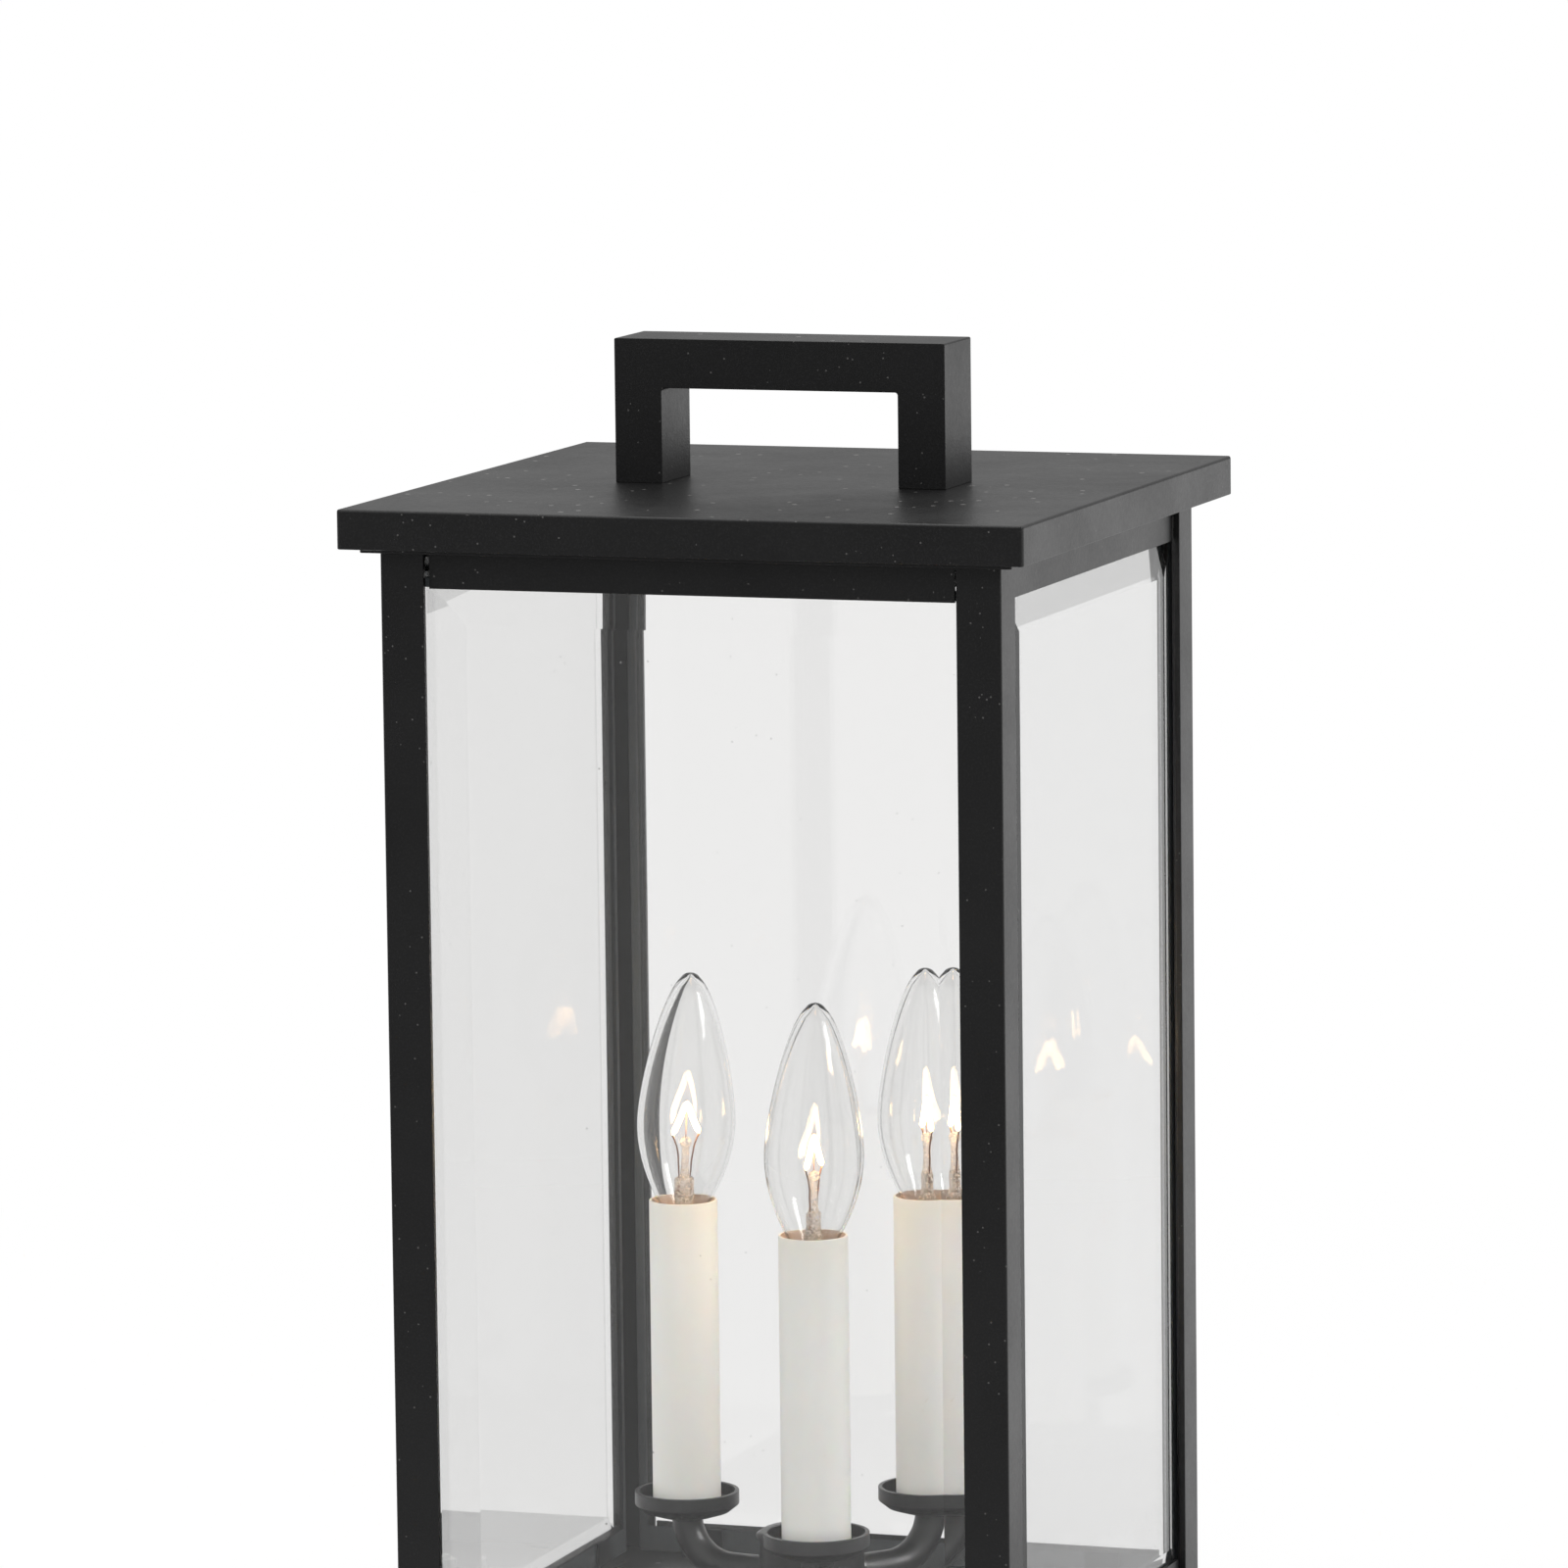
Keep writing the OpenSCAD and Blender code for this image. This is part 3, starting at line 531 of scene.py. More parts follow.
def lathe(outline, around, closed=False):
    """Mesh data for a profile of (radius, height) turned about Z. A radius of 0 makes a pole."""
    verts, faces, rings = [], [], []
    for r, z in outline:
        if r < 1e-7:
            rings.append([len(verts)])
            verts.append((0, 0, z))
        else:
            rings.append(list(range(len(verts), len(verts) + around)))
            verts += [(r * math.cos(2 * math.pi * k / around),
                       r * math.sin(2 * math.pi * k / around), z) for k in range(around)]
    pairs = list(zip(rings, rings[1:] + ([rings[0]] if closed else [])))
    for a, b in (pairs if closed else pairs[:len(rings) - 1]):
        for k in range(around):
            n = (k + 1) % around
            if len(a) == 1 and len(b) == 1:
                continue
            if len(a) == 1:
                faces.append((a[0], b[k], b[n]))
            elif len(b) == 1:
                faces.append((a[k], b[0], a[n]))
            else:
                faces.append((a[k], b[k], b[n], a[n]))
    return verts, faces


def loft(sections):
    """Mesh data for a skin over rings of the same number of points, with closed ends."""
    count = len(sections[0])
    verts = [tuple(p) for ring in sections for p in ring]
    faces = []
    for i in range(len(sections) - 1):
        for k in range(count):
            n = (k + 1) % count
            faces.append((i * count + k, i * count + n, (i + 1) * count + n, (i + 1) * count + k))
    faces.append(tuple(reversed(range(count))))
    faces.append(tuple((len(sections) - 1) * count + k for k in range(count)))
    return verts, faces


def tube(points, radius, sides):
    """Mesh data for a round wire through the points, with a radius or one per point."""
    points = [Vector(p) for p in points]
    radii = radius if isinstance(radius, (list, tuple)) else [radius] * len(points)
    tangents = [(points[min(i + 1, len(points) - 1)] - points[max(i - 1, 0)]).normalized()
                for i in range(len(points))]
    side = tangents[0].orthogonal().normalized()
    rings = []
    for p, d, r in zip(points, tangents, radii):
        side = (side - d * side.dot(d)).normalized()
        other = d.cross(side)
        rings.append([p + side * (r * math.cos(2 * math.pi * k / sides))
                      + other * (r * math.sin(2 * math.pi * k / sides)) for k in range(sides)])
    return loft(rings)


def mesh_of(name, parts, at=None, smooth=35):
    """One mesh from several (verts, faces, material index) parts, with outward normals."""
    bm = bmesh.new()
    for part in parts:
        verts, faces = part[0], part[1]
        index = part[2] if len(part) > 2 else 0
        made_verts = [bm.verts.new(v) for v in verts]
        for f in faces:
            bm.faces.new([made_verts[k] for k in f]).material_index = index
    bmesh.ops.recalc_face_normals(bm, faces=bm.faces)
    if at is not None:
        bmesh.ops.transform(bm, matrix=at, verts=bm.verts)
    mesh = bpy.data.meshes.new(name)
    bm.to_mesh(mesh)
    bm.free()
    smooth_by_angle(mesh, smooth)
    return mesh


def threaded(r, length, pitch, depth, head=(), around=32, rows=6, z0=0.0):
    """Mesh data for a threaded rod along Z, with a profile of (radius, height) after its end."""
    steps = max(2, round(length / pitch * rows))
    rings = []
    for i in range(steps + 1):
        z = z0 + length * i / steps
        ring = []
        for k in range(around):
            turn = (z / pitch - k / around) % 1.0
            groove = abs(turn * 2 - 1)
            ends = min(1.0, 4 * i / steps, 4 * (steps - i) / steps)
            rad = r - depth * groove * ends
            a = 2 * math.pi * k / around
            ring.append((rad * math.cos(a), rad * math.sin(a), z))
        rings.append(ring)
    for rad, z in head:
        rings.append([(rad * math.cos(2 * math.pi * k / around),
                       rad * math.sin(2 * math.pi * k / around), z) for k in range(around)])
    return loft(rings)


def bezier(a, b, c, d, steps):
    points = []
    for i in range(steps + 1):
        t = i / steps
        u = 1 - t
        points.append(tuple(u ** 3 * p + 3 * u * u * t * q + 3 * u * t * t * r + t ** 3 * s
                            for p, q, r, s in zip(a, b, c, d)))
    return points


# ---- settings ----

class PaintSettings(bpy.types.PropertyGroup):
    colour: FloatVectorProperty(name="Paint", description="Colour of the powder coat", subtype="COLOR",
                                size=3, min=0, max=1, default=(0.0048, 0.0048, 0.005))
    roughness: FloatProperty(name="Roughness", description="Roughness of the powder coat",
                             min=0.1, max=1, default=0.36)
    texture: FloatProperty(name="Texture", description="Strength of the powder coat's fine texture",
                           min=0, max=1, default=0.35)
    dust: FloatProperty(name="Dust", description="How much dust lies on the paint", min=0, max=1,
                        default=0.55)
    edge: FloatProperty(name="Eased edge", description="Width of the eased metal edges, in millimetres",
                        min=0.1, max=0.6, default=0.4)


class GlassSettings(bpy.types.PropertyGroup):
    tint: FloatVectorProperty(name="Tint", description="Colour that a pane gives what is behind it",
                              subtype="COLOR", size=3, min=0, max=1, default=(0.937, 0.935, 0.932))
    arris: FloatProperty(name="Arris", description="Width of the ground edge of a pane, in millimetres",
                         min=0.05, max=0.6, default=0.25)


class CandleSettings(bpy.types.PropertyGroup):
    colour: FloatVectorProperty(name="Sleeve", description="Colour of the candle sleeves",
                                subtype="COLOR", size=3, min=0, max=1, default=(0.875, 0.865, 0.83))
    rim: FloatProperty(name="Rim", description="Rounding of a sleeve's rim, in millimetres",
                       min=0.1, max=0.4, default=0.3)


class LampSettings(bpy.types.PropertyGroup):
    glow: FloatVectorProperty(name="Glow", description="Colour of the lit filament", subtype="COLOR",
                              size=3, min=0, max=1, default=(1.0, 0.62, 0.27))
    power: FloatProperty(name="Power", description="Brightness of the lit filament", min=0, max=500,
                         default=110)
    coil: FloatProperty(name="Coil", description="Radius of the coiled filament, in millimetres",
                        min=0.2, max=1.2, default=0.8)
    turns: IntProperty(name="Turns", description="Turns in each leg of the filament", min=8, max=40,
                       default=20)


class StageSettings(bpy.types.PropertyGroup):
    floor_share: FloatProperty(name="Floor white", description="How far the floor shows as plain white",
                               min=0, max=1, default=0.88)
    world: FloatProperty(name="Fill", description="Strength of the light from all round", min=0, max=2,
                         default=0.92)
    front: FloatProperty(name="Front", description="Brightness that gloss shows in front", min=0, max=2,
                         default=0.16)
    back: FloatProperty(name="Back", description="Brightness of the floor behind, in gloss", min=0,
                        max=2, default=1.0)
    sky: FloatProperty(name="Sky", description="Brightness above the horizon behind, in gloss", min=0,
                       max=2, default=0.42)
    overhead: FloatProperty(name="Overhead", description="Brightness high above, in gloss", min=0,
                            max=2, default=0.8)
    key: FloatProperty(name="Key", description="Power of the right soft lamp, which the others follow",
                       unit="POWER", min=0, max=500, default=17)


# ---- operators ----

class LANTERN_OT_roof(bpy.types.Operator):
    """Roof pan, soffit plate and bar handle, with the two bolts inside"""
    bl_idname = "lantern.roof"
    bl_label = "Roof and handle"

    def execute(self, context):
        coat = black_powder_coat()
        edge = context.scene.lantern_paint.edge
        eased("roof_pan", coat, edge)
        eased("soffit_plate", coat, 0.3)
        eased("handle", coat, edge)
        low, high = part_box("handle_bolts")
        rod_r, pitch, groove = 0.0025, 0.0008, 0.0003
        head_r, head_t, foot = 0.00475, 0.003, low.z
        parts = []
        for side in (-1, 1):
            x = side * ((high.x - low.x) / 2 - head_r)
            rod = threaded(rod_r, high.z - foot - head_t, pitch, groove, z0=foot + head_t)
            head = lathe([(0, foot), (0.0038, foot), (0.0042, foot + 0.0004), (head_r, foot + 0.0024),
                          (head_r, foot + head_t), (0, foot + head_t)], 40)
            for verts, faces in (rod, head):
                parts.append(([(v[0] + x, v[1], v[2]) for v in verts], faces))
        mesh = mesh_of("handle_bolts_threaded", parts)
        new_piece("handle_bolts_threaded", mesh, zinc_plate(), ROOF, ["handle_bolts"])
        return {"FINISHED"}


class LANTERN_OT_frames(bpy.types.Operator):
    """Angle posts and the folded frames between them"""
    bl_idname = "lantern.frames"
    bl_label = "Posts and frames"

    def execute(self, context):
        coat = black_powder_coat()
        for corner in ("front_left", "front_right", "back_right", "back_left"):
            eased(corner + "_post", coat, 0.3)
        for node in ("top_frame", "bottom_frame"):
            eased(node, coat, 0.25)
        return {"FINISHED"}


class LANTERN_OT_panes(bpy.types.Operator):
    """Bevelled panes with ground edges, and the clips that hold them"""
    bl_idname = "lantern.panes"
    bl_label = "Panes and clips"

    def execute(self, context):
        glass = bevelled_pane_glass()
        for side in ("front", "right", "back", "left"):
            pane = eased(side + "_pane", glass, context.scene.lantern_glass.arris, 1, 40)
            for polygon in pane.data.polygons:
                polygon.use_smooth = False
        for node in ("upper_clips", "lower_clips"):
            eased(node, black_powder_coat(), 0.2)
        return {"FINISHED"}


class LANTERN_OT_thumb_screws(bpy.types.Operator):
    """Knurled thumb screws that hold the roof"""
    bl_idname = "lantern.thumb_screws"
    bl_label = "Thumb screws"

    def execute(self, context):
        shank_r, pitch, groove = 0.002, 0.0007, 0.00025
        teeth, notch = 44, 0.055
        for side in ("left", "right"):
            node = side + "_thumb_screw"
            low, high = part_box(node)
            middle = Vector(((low.x + high.x) / 2, 0, (low.z + high.z) / 2))
            head_r = (high.z - low.z) / 2
            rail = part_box("top_frame")[1].y
            head_y = rail + 0.0003
            length = head_y - low.y
            shank = threaded(shank_r, length, pitch, groove)
            rings = []
            depth = high.y - head_y
            for y, r, cut in ((0, 0.75, 0), (0.0013, 0.75, 0), (0.0015, 0.94, 0), (0.0018, 1, 1),
                              (depth - 0.0009, 1, 1), (depth - 0.0005, 0.95, 0),
                              (depth - 0.0002, 0.87, 0), (depth, 0.8, 0), (depth, 0.4, 0),
                              (depth - 0.0003, 0.36, 0)):
                rings.append([(head_r * (r - notch * cut * (k % 2)) * math.cos(math.pi * k / teeth),
                               head_r * (r - notch * cut * (k % 2)) * math.sin(math.pi * k / teeth),
                               length + y) for k in range(2 * teeth)])
            along_y = Matrix.Rotation(-math.pi / 2, 4, "X")
            turn = Matrix.Translation((middle.x, low.y, middle.z)) @ along_y
            mesh = mesh_of(node + "_knurled", [shank, loft(rings)], turn, 28)
            new_piece(node + "_knurled", mesh, black_powder_coat(), side + "_thumb", [node])
        return {"FINISHED"}


class LANTERN_OT_base(bpy.types.Operator):
    """Base slab, plinth, pier plate and their screws"""
    bl_idname = "lantern.base"
    bl_label = "Base and plinth"

    def execute(self, context):
        coat = black_powder_coat()
        edge = context.scene.lantern_paint.edge
        eased("base_pan", coat, edge)
        eased("plinth", coat, edge)
        eased("pier_plate", zinc_plate(), 0.25)
        eased("plinth_screws", coat, 0.2)
        eased("base_screws", zinc_plate(), 0.15)
        eased("base_nuts", zinc_plate(), 0.2)
        eased("ground_screw", earth_green(), 0.15)
        return {"FINISHED"}


class LANTERN_OT_cluster(bpy.types.Operator):
    """Stem, wiring hub, bent arms and candle cups"""
    bl_idname = "lantern.cluster"
    bl_label = "Candle cluster"

    def execute(self, context):
        coat = black_powder_coat()
        for node in ("hub_body", "hub_cap", "hub_finial"):
            eased(node, coat, 0.2)
        for name in CANDLES:
            eased(name + "_arm", coat, 0)
            eased(name + "_cup", coat, 0.2)
        for node in ("stem_nuts", "arm_nuts"):
            eased(node, zinc_plate(), 0.2)
        eased("centre_stem", zinc_plate(), 0.2)
        eased("wiring", white_insulation(), 0)
        return {"FINISHED"}


class LANTERN_OT_sockets(bpy.types.Operator):
    """Socket straps, mouldings and brass shells"""
    bl_idname = "lantern.sockets"
    bl_label = "Sockets"

    def execute(self, context):
        eased("socket_straps", zinc_plate(), 0.15)
        for name in CANDLES:
            eased(name + "_socket", dark_moulding(), 0.3)
            eased(name + "_socket_shell", spun_brass(), 0)
        return {"FINISHED"}


class LANTERN_OT_sleeves(bpy.types.Operator):
    """Candle sleeves, thin tubes with softly rounded rims"""
    bl_idname = "lantern.sleeves"
    bl_label = "Candle sleeves"

    def execute(self, context):
        rim = context.scene.lantern_candle.rim * MM
        wall, chamfer = 0.9 * MM, 0.2 * MM
        for name in CANDLES:
            node = name + "_sleeve"
            low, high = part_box(node)
            r = (high.x - low.x) / 2
            z0, z1 = low.z, high.z
            outline = [(r - wall, z0 + chamfer), (r - wall + chamfer, z0),
                       (r - chamfer, z0), (r, z0 + chamfer)]
            outline += [(r, z0 + (z1 - z0 - rim) * k / 24) for k in range(1, 25)]
            outline += [(r - rim + rim * math.cos(a), z1 - rim + rim * math.sin(a))
                        for a in (math.radians(d) for d in range(15, 91, 15))]
            outline += [(r - wall + rim - rim * math.cos(a), z1 - rim + rim * math.sin(a))
                        for a in (math.radians(d) for d in range(90, -1, -15))]
            outline += [(r - wall, z1 - (z1 - z0) * k / 10) for k in range(1, 10)]
            mesh = mesh_of(node + "_moulded", [lathe(outline, 96, True)],
                           Matrix.Translation(centre_xy(node)), 40)
            middle = centre_xy(node)
            # the faces that look inwards take the second material, the darker brown painted shade and
            # painted brown reflection of the sleeve's shadowed inside
            for polygon in mesh.polygons:
                out = polygon.center - middle
                if polygon.normal.x * out.x + polygon.normal.y * out.y < -0.6 * math.hypot(out.x, out.y):
                    polygon.material_index = 1
            new_piece(node + "_moulded", mesh, [candle_plastic(), sleeve_inside_painted_shade()], BODY, [node])
        return {"FINISHED"}


def lamp_outlines(rim, neck, tip, widest):
    """Torpedo profiles of the outside and the bore, as (radius, height), from the neck up.

    The wall grows from the belly to the tip, where the glass was drawn to a blunt end.
    """
    h = tip - rim
    belly = rim + 0.342 * h
    outside = bezier((0.0064, neck), (0.0095, rim + 0.001), (widest, rim + 0.16 * h),
                     (widest, belly), 22)
    outside += bezier((widest, belly), (widest, belly + 0.011), (0.0098, tip - 0.0078),
                      (0.0029, tip - 0.0014), 40)[1:]
    wall, more_at_tip = 0.00082, 0.00105
    bore = []
    for r, z in outside:
        if z < tip - 0.0042:
            drawn = max(0.0, (z - belly) / (tip - 0.006 - belly))
            bore.append((r - wall - more_at_tip * min(1.0, drawn) ** 2, z))
    bore += [(0.0011, tip - 0.0023), (0.0004, tip - 0.0014), (0, tip - 0.0012)]
    outside += [(0.0026, tip - 0.0010), (0.0021, tip - 0.0006), (0.0014, tip - 0.00025),
                (0.0007, tip - 0.00006), (0, tip)]
    return outside, bore


class LANTERN_OT_lamp_glass(bpy.types.Operator):
    """Blown envelopes of the lamps"""
    bl_idname = "lantern.lamp_glass"
    bl_label = "Lamp envelopes"

    def execute(self, context):
        for name in CANDLES:
            node = name + "_lamp_glass"
            lamp = Lamp(name)
            outside, bore = lamp_outlines(lamp.rim, lamp.neck + 0.0004, lamp.tip, lamp.widest)
            verts, faces = lathe(outside + list(reversed(bore)), 96, True)
            mesh = mesh_of(node + "_blown", [(verts, faces)], lamp.at, 60)
            new_piece(node + "_blown", mesh, blown_lamp_glass(), name + "_lamp", [node])
        return {"FINISHED"}


class LANTERN_OT_lamp_bases(bpy.types.Operator):
    """Screw bases with a rolled thread, a glazed insulator and a contact"""
    bl_idname = "lantern.lamp_bases"
    bl_label = "Lamp bases"

    def execute(self, context):
        for name in CANDLES:
            node = name + "_lamp_base"
            low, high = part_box(node)
            z, top, r, rim_r = low.z, high.z, 0.00595, 0.0066
            pitch, groove = 0.00254, 0.00055
            tip = lathe([(0, z), (0.0018, z + 0.0001), (0.0024, z + 0.0006), (0.0024, z + 0.0014),
                         (0, z + 0.0014)], 32)
            glaze = lathe([(0.0024, z + 0.0012), (0.0032, z + 0.0015), (0.0046, z + 0.0030),
                           (0.0050, z + 0.0036), (0, z + 0.0036)], 40)
            shell = threaded(r, top - z - 0.0048, pitch, groove,
                             [(r - 0.0001, top - 0.0011), (rim_r - 0.0003, top - 0.0006),
                              (rim_r, top - 0.0001), (rim_r, top)], 48, 10, z + 0.0036)
            mesh = mesh_of(node + "_threaded", [(*tip, 0), (*glaze, 1), (*shell, 0)],
                           Matrix.Translation(centre_xy(node)), 45)
            new_piece(node + "_threaded", mesh, [spun_brass(), dark_moulding()], name + "_lamp",
                      [node])
        return {"FINISHED"}


class LANTERN_OT_lamp_stems(bpy.types.Operator):
    """Pressed glass stems with a rod and button"""
    bl_idname = "lantern.lamp_stems"
    bl_label = "Lamp stems"

    def execute(self, context):
        for name in CANDLES:
            node = name + "_lamp_stem"
            lamp = Lamp(name)
            z, press, button = lamp.neck + 0.0003, lamp.press, lamp.button
            rings = []
            for height, half_w, half_d, square in (
                    (z, 0.0052, 0.0052, 0), (z + 0.0006, 0.0050, 0.0050, 0),
                    (z + 0.0014, 0.0040, 0.0040, 0), (z + 0.003, 0.0031, 0.0031, 0),
                    (z + 0.0048, 0.0029, 0.0027, 0),
                    (press - 0.0078, 0.0029, 0.0025, 0.2), (press - 0.0068, 0.0033, 0.0017, 0.6),
                    (press - 0.006, 0.0034, 0.0014, 0.9), (press - 0.004, 0.0033, 0.00135, 0.9),
                    (press - 0.002, 0.0034, 0.0014, 0.9), (press - 0.0006, 0.0034, 0.0014, 0.8),
                    (press - 0.0002, 0.0030, 0.0011, 0.6), (press, 0.0022, 0.0007, 0.3)):
                power = 1 - 0.55 * square
                ring = []
                for k in range(32):
                    a = 2 * math.pi * k / 32
                    c, s = math.cos(a), math.sin(a)
                    wobble = 1 + 0.10 * noise.noise(Vector((c * 2, s * 2, height * 700)))
                    ring.append((math.copysign(abs(c) ** power, c) * half_w * wobble,
                                 math.copysign(abs(s) ** power, s) * half_d * wobble, height))
                rings.append(ring)
            rod = [(0, press - 0.0004), (0.0019, press - 0.0003), (0.0015, press + 0.0008),
                   (0.0013, press + 0.003), (0.00115, button - 0.004), (0.00125, button - 0.0018)]
            rod += [(BUTTON_R * math.cos(a), button + BUTTON_R * math.sin(a))
                    for a in (math.radians(d) for d in range(-50, 90, 14))]
            rod.append((0, button + BUTTON_R))
            mesh = mesh_of(node + "_pressed", [loft(rings), lathe(rod, 32)], lamp.turned, 50)
            new_piece(node + "_pressed", mesh, pressed_stem_glass(), name + "_lamp", [node])
        return {"FINISHED"}


class LANTERN_OT_filaments(bpy.types.Operator):
    """Lead wires, support hook and the lit, coiled filament"""
    bl_idname = "lantern.filaments"
    bl_label = "Filaments"

    def execute(self, context):
        s = context.scene.lantern_lamp
        coil_r = s.coil * MM
        lead_r, hook_r, wire_r = 0.00026, 0.00014, 0.0002
        for name in CANDLES:
            node = name + "_lamp_filament"
            lamp = Lamp(name)
            press, lead_top, apex = lamp.press, lamp.lead_top, lamp.apex
            button_top = lamp.button + BUTTON_R
            parts = []
            for side in (-1, 1):
                lead = [(side * 0.0021, 0, lamp.rim + 0.0012), (side * 0.0021, 0, press),
                        (side * 0.0022, 0, press + 0.0015), (side * 0.0024, 0.0001, press + 0.0045),
                        (side * 0.0027, -0.0001, press + 0.0072), (side * 0.0033, 0, press + 0.0100),
                        (side * 0.0043, 0.0001, press + 0.0124), (side * lamp.spread, 0, lead_top),
                        (side * lamp.spread, 0.0003, lead_top + 0.0004)]
                parts.append((*tube(lead, [0.00014, 0.00018] + [lead_r] * 6 + [0.0002], 10), 0))
                start = Vector((side * lamp.spread, 0, lead_top))
                end = Vector((0, 0, apex))
                axis = (end - start).normalized()
                across = Vector((0, 1, 0))
                other = axis.cross(across)
                steps = s.turns * 10
                coil = []
                for i in range(steps + 1):
                    f = i / steps
                    a = 2 * math.pi * s.turns * f
                    r = coil_r * min(1.0, 8 * f, 8 * (1 - f))
                    sag = Vector((0, 0, -0.0006)) * math.sin(math.pi * f)
                    coil.append(start.lerp(end, f) + sag
                                + across * (r * math.cos(a)) + other * (r * math.sin(a)))
                parts.append((*tube(coil, wire_r, 6), 1))
            hook = [(0, 0, button_top - 0.0006), (0, 0, button_top + 0.002), (0, 0, apex - 0.0015),
                    (0.0002, 0.0002, apex - 0.0006), (0, 0.0005, apex), (-0.0003, 0.0001, apex + 0.0003),
                    (-0.0001, -0.0003, apex)]
            parts.append((*tube(hook, hook_r, 8), 0))
            mesh = mesh_of(node + "_wound", parts, lamp.turned, 50)
            new_piece(node + "_wound", mesh, [copper_lead(), lit_filament()], name + "_lamp", [node])
        return {"FINISHED"}


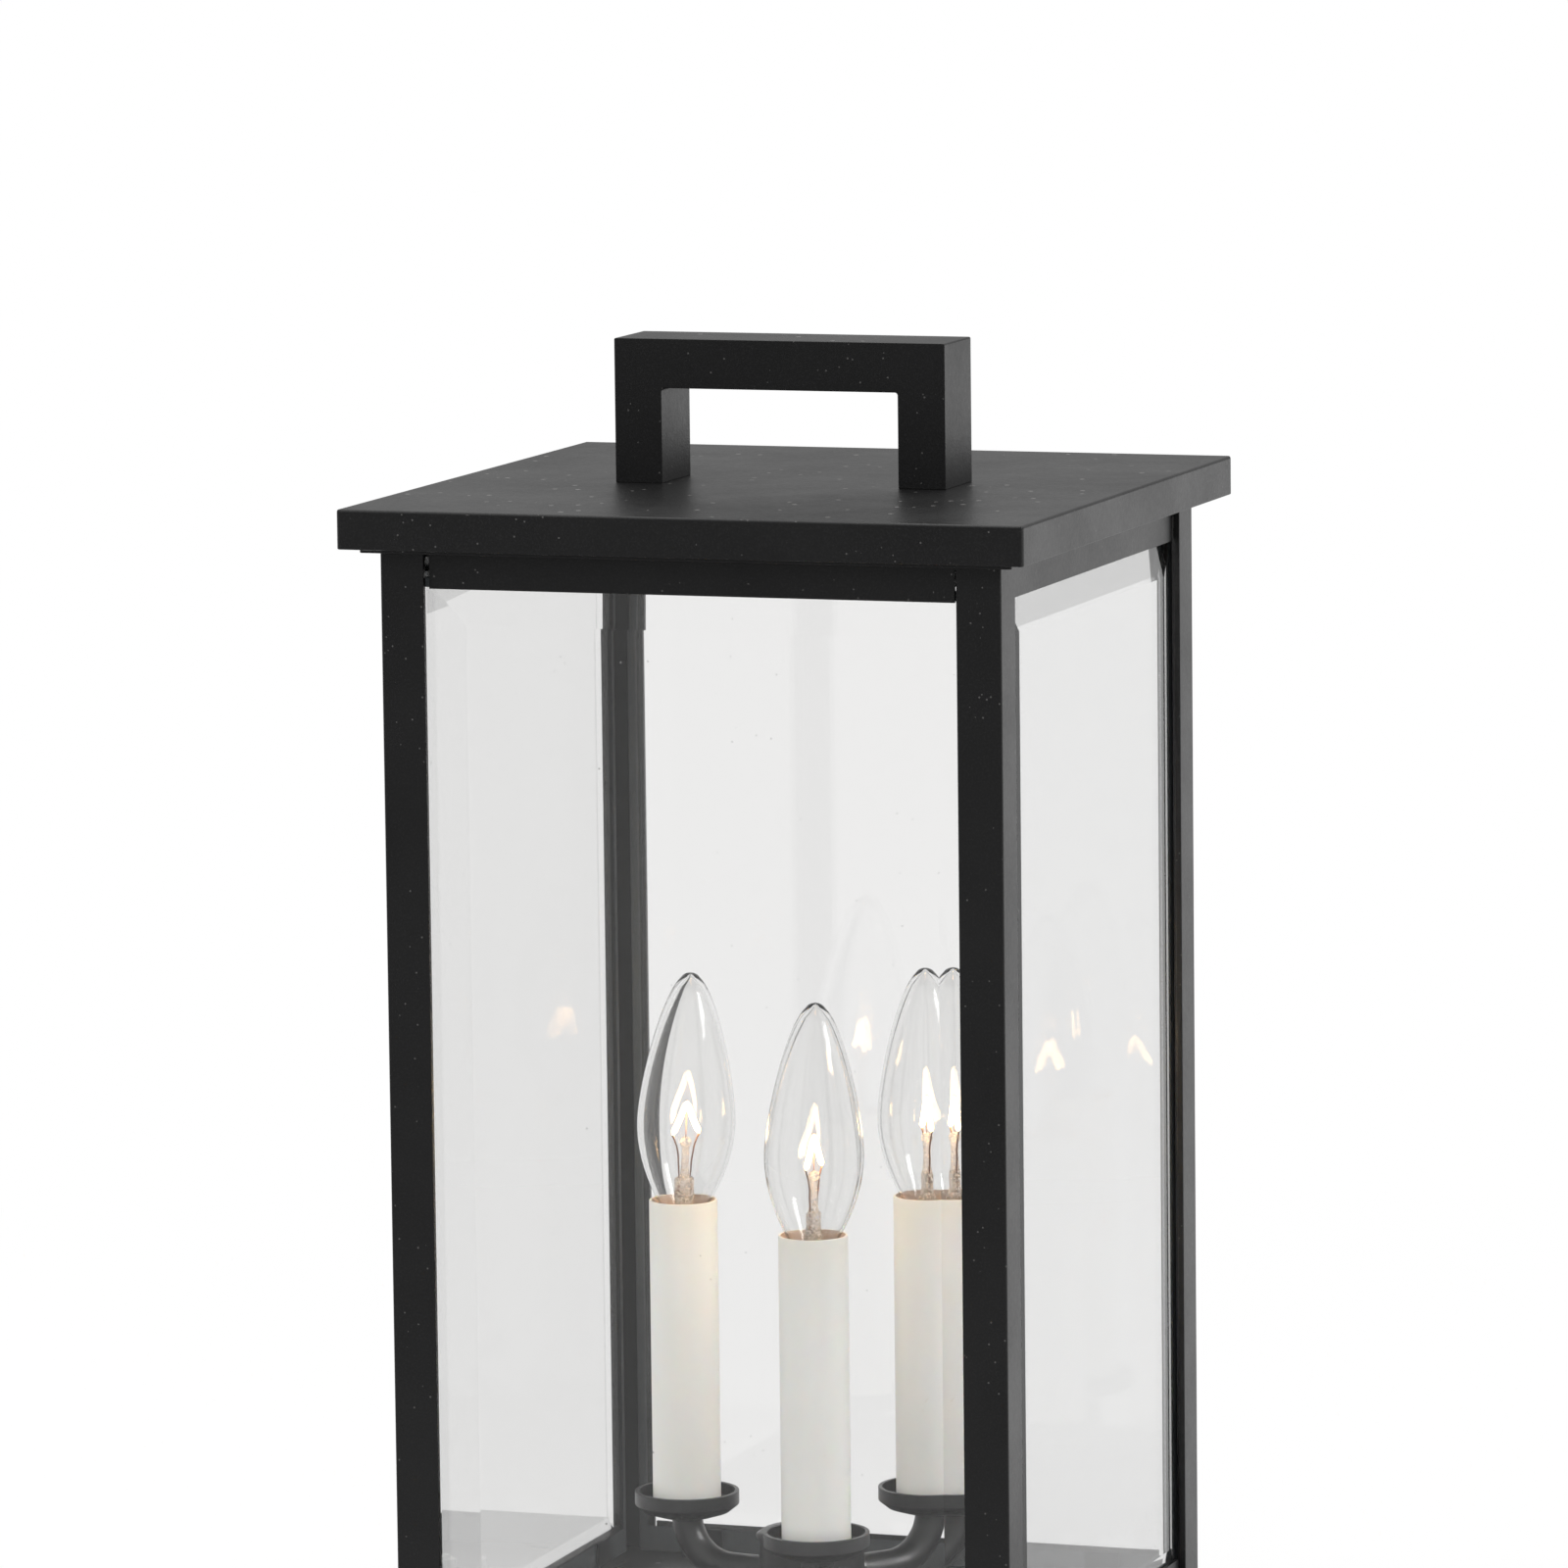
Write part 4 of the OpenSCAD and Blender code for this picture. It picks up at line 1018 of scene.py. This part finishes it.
class LANTERN_OT_stage(bpy.types.Operator):
    """Floor, world, soft lamps and camera"""
    bl_idname = "lantern.stage"
    bl_label = "Stage"

    def execute(self, context):
        scene = context.scene
        s = scene.lantern_stage
        floor_r, sides, gap = 60, 96, 0.0004
        floor_z = cad_box[0][2] - gap
        ring = [(math.cos(2 * math.pi * k / sides) * floor_r, math.sin(2 * math.pi * k / sides) * floor_r,
                 floor_z) for k in range(sides)]
        mesh = bpy.data.meshes.new("floor")
        mesh.from_pydata(ring, [], [tuple(range(sides))])
        floor = new_piece("floor", mesh, studio_floor(), None)

        world = bpy.data.worlds.new("studio")
        scene.world = world
        t = Tree(world, "ShaderNodeOutputWorld")
        toward = t.add("ShaderNodeTexCoord", out="Generated")
        depth = t.add("ShaderNodeSeparateXYZ", {}, {0: toward}, out="Y")
        up = Sock(t, depth.socket.node.outputs["Z"])
        shine = t.blend((depth * 0.75 + 0.5).clamped(), (s.front,) * 3, (s.sky,) * 3)
        shine = t.blend(((up - 0.3) * 2.5).clamped(), shine, (s.overhead,) * 3)
        fill = t.add("ShaderNodeBackground", {}, {"Color": (1, 1, 1), "Strength": s.world})
        white = t.add("ShaderNodeBackground", {}, {"Color": (1, 1, 1), "Strength": 1.0})
        shine = t.add("ShaderNodeBackground", {}, {"Color": shine, "Strength": 1.0})
        lit = t.add("ShaderNodeMixShader", {}, {0: sees(t, "Camera", "Transmission"), 1: fill, 2: white})
        t.finish(t.add("ShaderNodeMixShader", {}, {0: mirrored(t), 1: lit, 2: shine}))

        # the last two say whether a lamp lights matt surfaces and whether gloss shows it
        for name, at, size, power, aim, matt, gloss in (
                ("right", (1.68, -0.24, 1.13), (0.42, 0.6), s.key, (0, 0, 0.22), False, True),
                ("front", (0.9, -2.3, 1.5), (1.0, 0.8), s.key * 0.8, (0, 0, 0.2), True, False),
                ("left", (-2.3, -1.5, 0.9), (1.2, 1.0), s.key * 1.3, (0, 0, 0.2), True, False),
                ("top", (0, 0.2, 2.2), (1.5, 1.5), s.key * 0.5, (0, 0, 0.3), True, True)):
            data = bpy.data.lights.new(name, "AREA")
            data.shape = "RECTANGLE"
            data.size, data.size_y = size
            data.energy = power
            lamp = bpy.data.objects.new(name, data)
            lamp.location = at
            lamp.visible_diffuse = matt
            lamp.visible_glossy = lamp.visible_transmission = gloss
            lamp.rotation_euler = (Vector(aim) - Vector(at)).to_track_quat("-Z", "Y").to_euler()
            scene.collection.objects.link(lamp)

        data = bpy.data.cameras.new("camera")
        data.sensor_fit = "HORIZONTAL"
        data.sensor_width = 36
        data.lens = 217.742
        data.clip_start, data.clip_end = 0.1, 200
        camera = bpy.data.objects.new("camera", data)
        yaw, pitch, roll = (math.radians(a) for a in (19.19, -7.56, -0.67))
        forward = Vector((-math.sin(yaw) * math.cos(pitch), math.cos(yaw) * math.cos(pitch),
                          math.sin(pitch)))
        side = Vector((math.cos(yaw), math.sin(yaw), 0))
        up = side.cross(forward)
        right = math.cos(roll) * side + math.sin(roll) * up
        above = -math.sin(roll) * side + math.cos(roll) * up
        basis = Matrix((right, above, -forward)).transposed().to_4x4()
        stand = Vector((0.9868, -2.8481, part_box("roof_pan")[1].z + 0.3028))
        camera.matrix_world = Matrix.Translation(stand) @ basis
        scene.collection.objects.link(camera)
        scene.camera = camera
        scene.view_settings.view_transform = "Standard"
        return {"FINISHED"}


class LANTERN_PT_finish(bpy.types.Panel):
    """Lists the lantern's pieces and their settings"""
    bl_idname = "LANTERN_PT_finish"
    bl_label = "Lantern"
    bl_space_type = "VIEW_3D"
    bl_region_type = "UI"
    bl_category = "Lantern"

    def draw(self, context):
        for group in GROUPS:
            box = self.layout.box()
            settings = getattr(context.scene, group)
            for key in settings.bl_rna.properties.keys():
                if key not in ("rna_type", "name"):
                    box.prop(settings, key)
        for step in STEPS:
            self.layout.operator(step.bl_idname)


GROUPS = {
    "lantern_paint": PaintSettings,
    "lantern_glass": GlassSettings,
    "lantern_candle": CandleSettings,
    "lantern_lamp": LampSettings,
    "lantern_stage": StageSettings,
}
STEPS = (
    LANTERN_OT_stage,
    LANTERN_OT_roof,
    LANTERN_OT_frames,
    LANTERN_OT_panes,
    LANTERN_OT_thumb_screws,
    LANTERN_OT_base,
    LANTERN_OT_cluster,
    LANTERN_OT_sockets,
    LANTERN_OT_sleeves,
    LANTERN_OT_lamp_glass,
    LANTERN_OT_lamp_bases,
    LANTERN_OT_lamp_stems,
    LANTERN_OT_filaments,
)


def register():
    for name, group in GROUPS.items():
        bpy.utils.register_class(group)
        setattr(bpy.types.Scene, name, PointerProperty(type=group))
    for cls in (*STEPS, LANTERN_PT_finish):
        bpy.utils.register_class(cls)


def unregister():
    for cls in reversed((*STEPS, LANTERN_PT_finish)):
        bpy.utils.unregister_class(cls)
    for name, group in reversed(GROUPS.items()):
        delattr(bpy.types.Scene, name)
        bpy.utils.unregister_class(group)


def main():
    register()
    for step in STEPS:
        family, action = step.bl_idname.split(".")
        getattr(getattr(bpy.ops, family), action)()


if __name__ == "__main__":
    main()
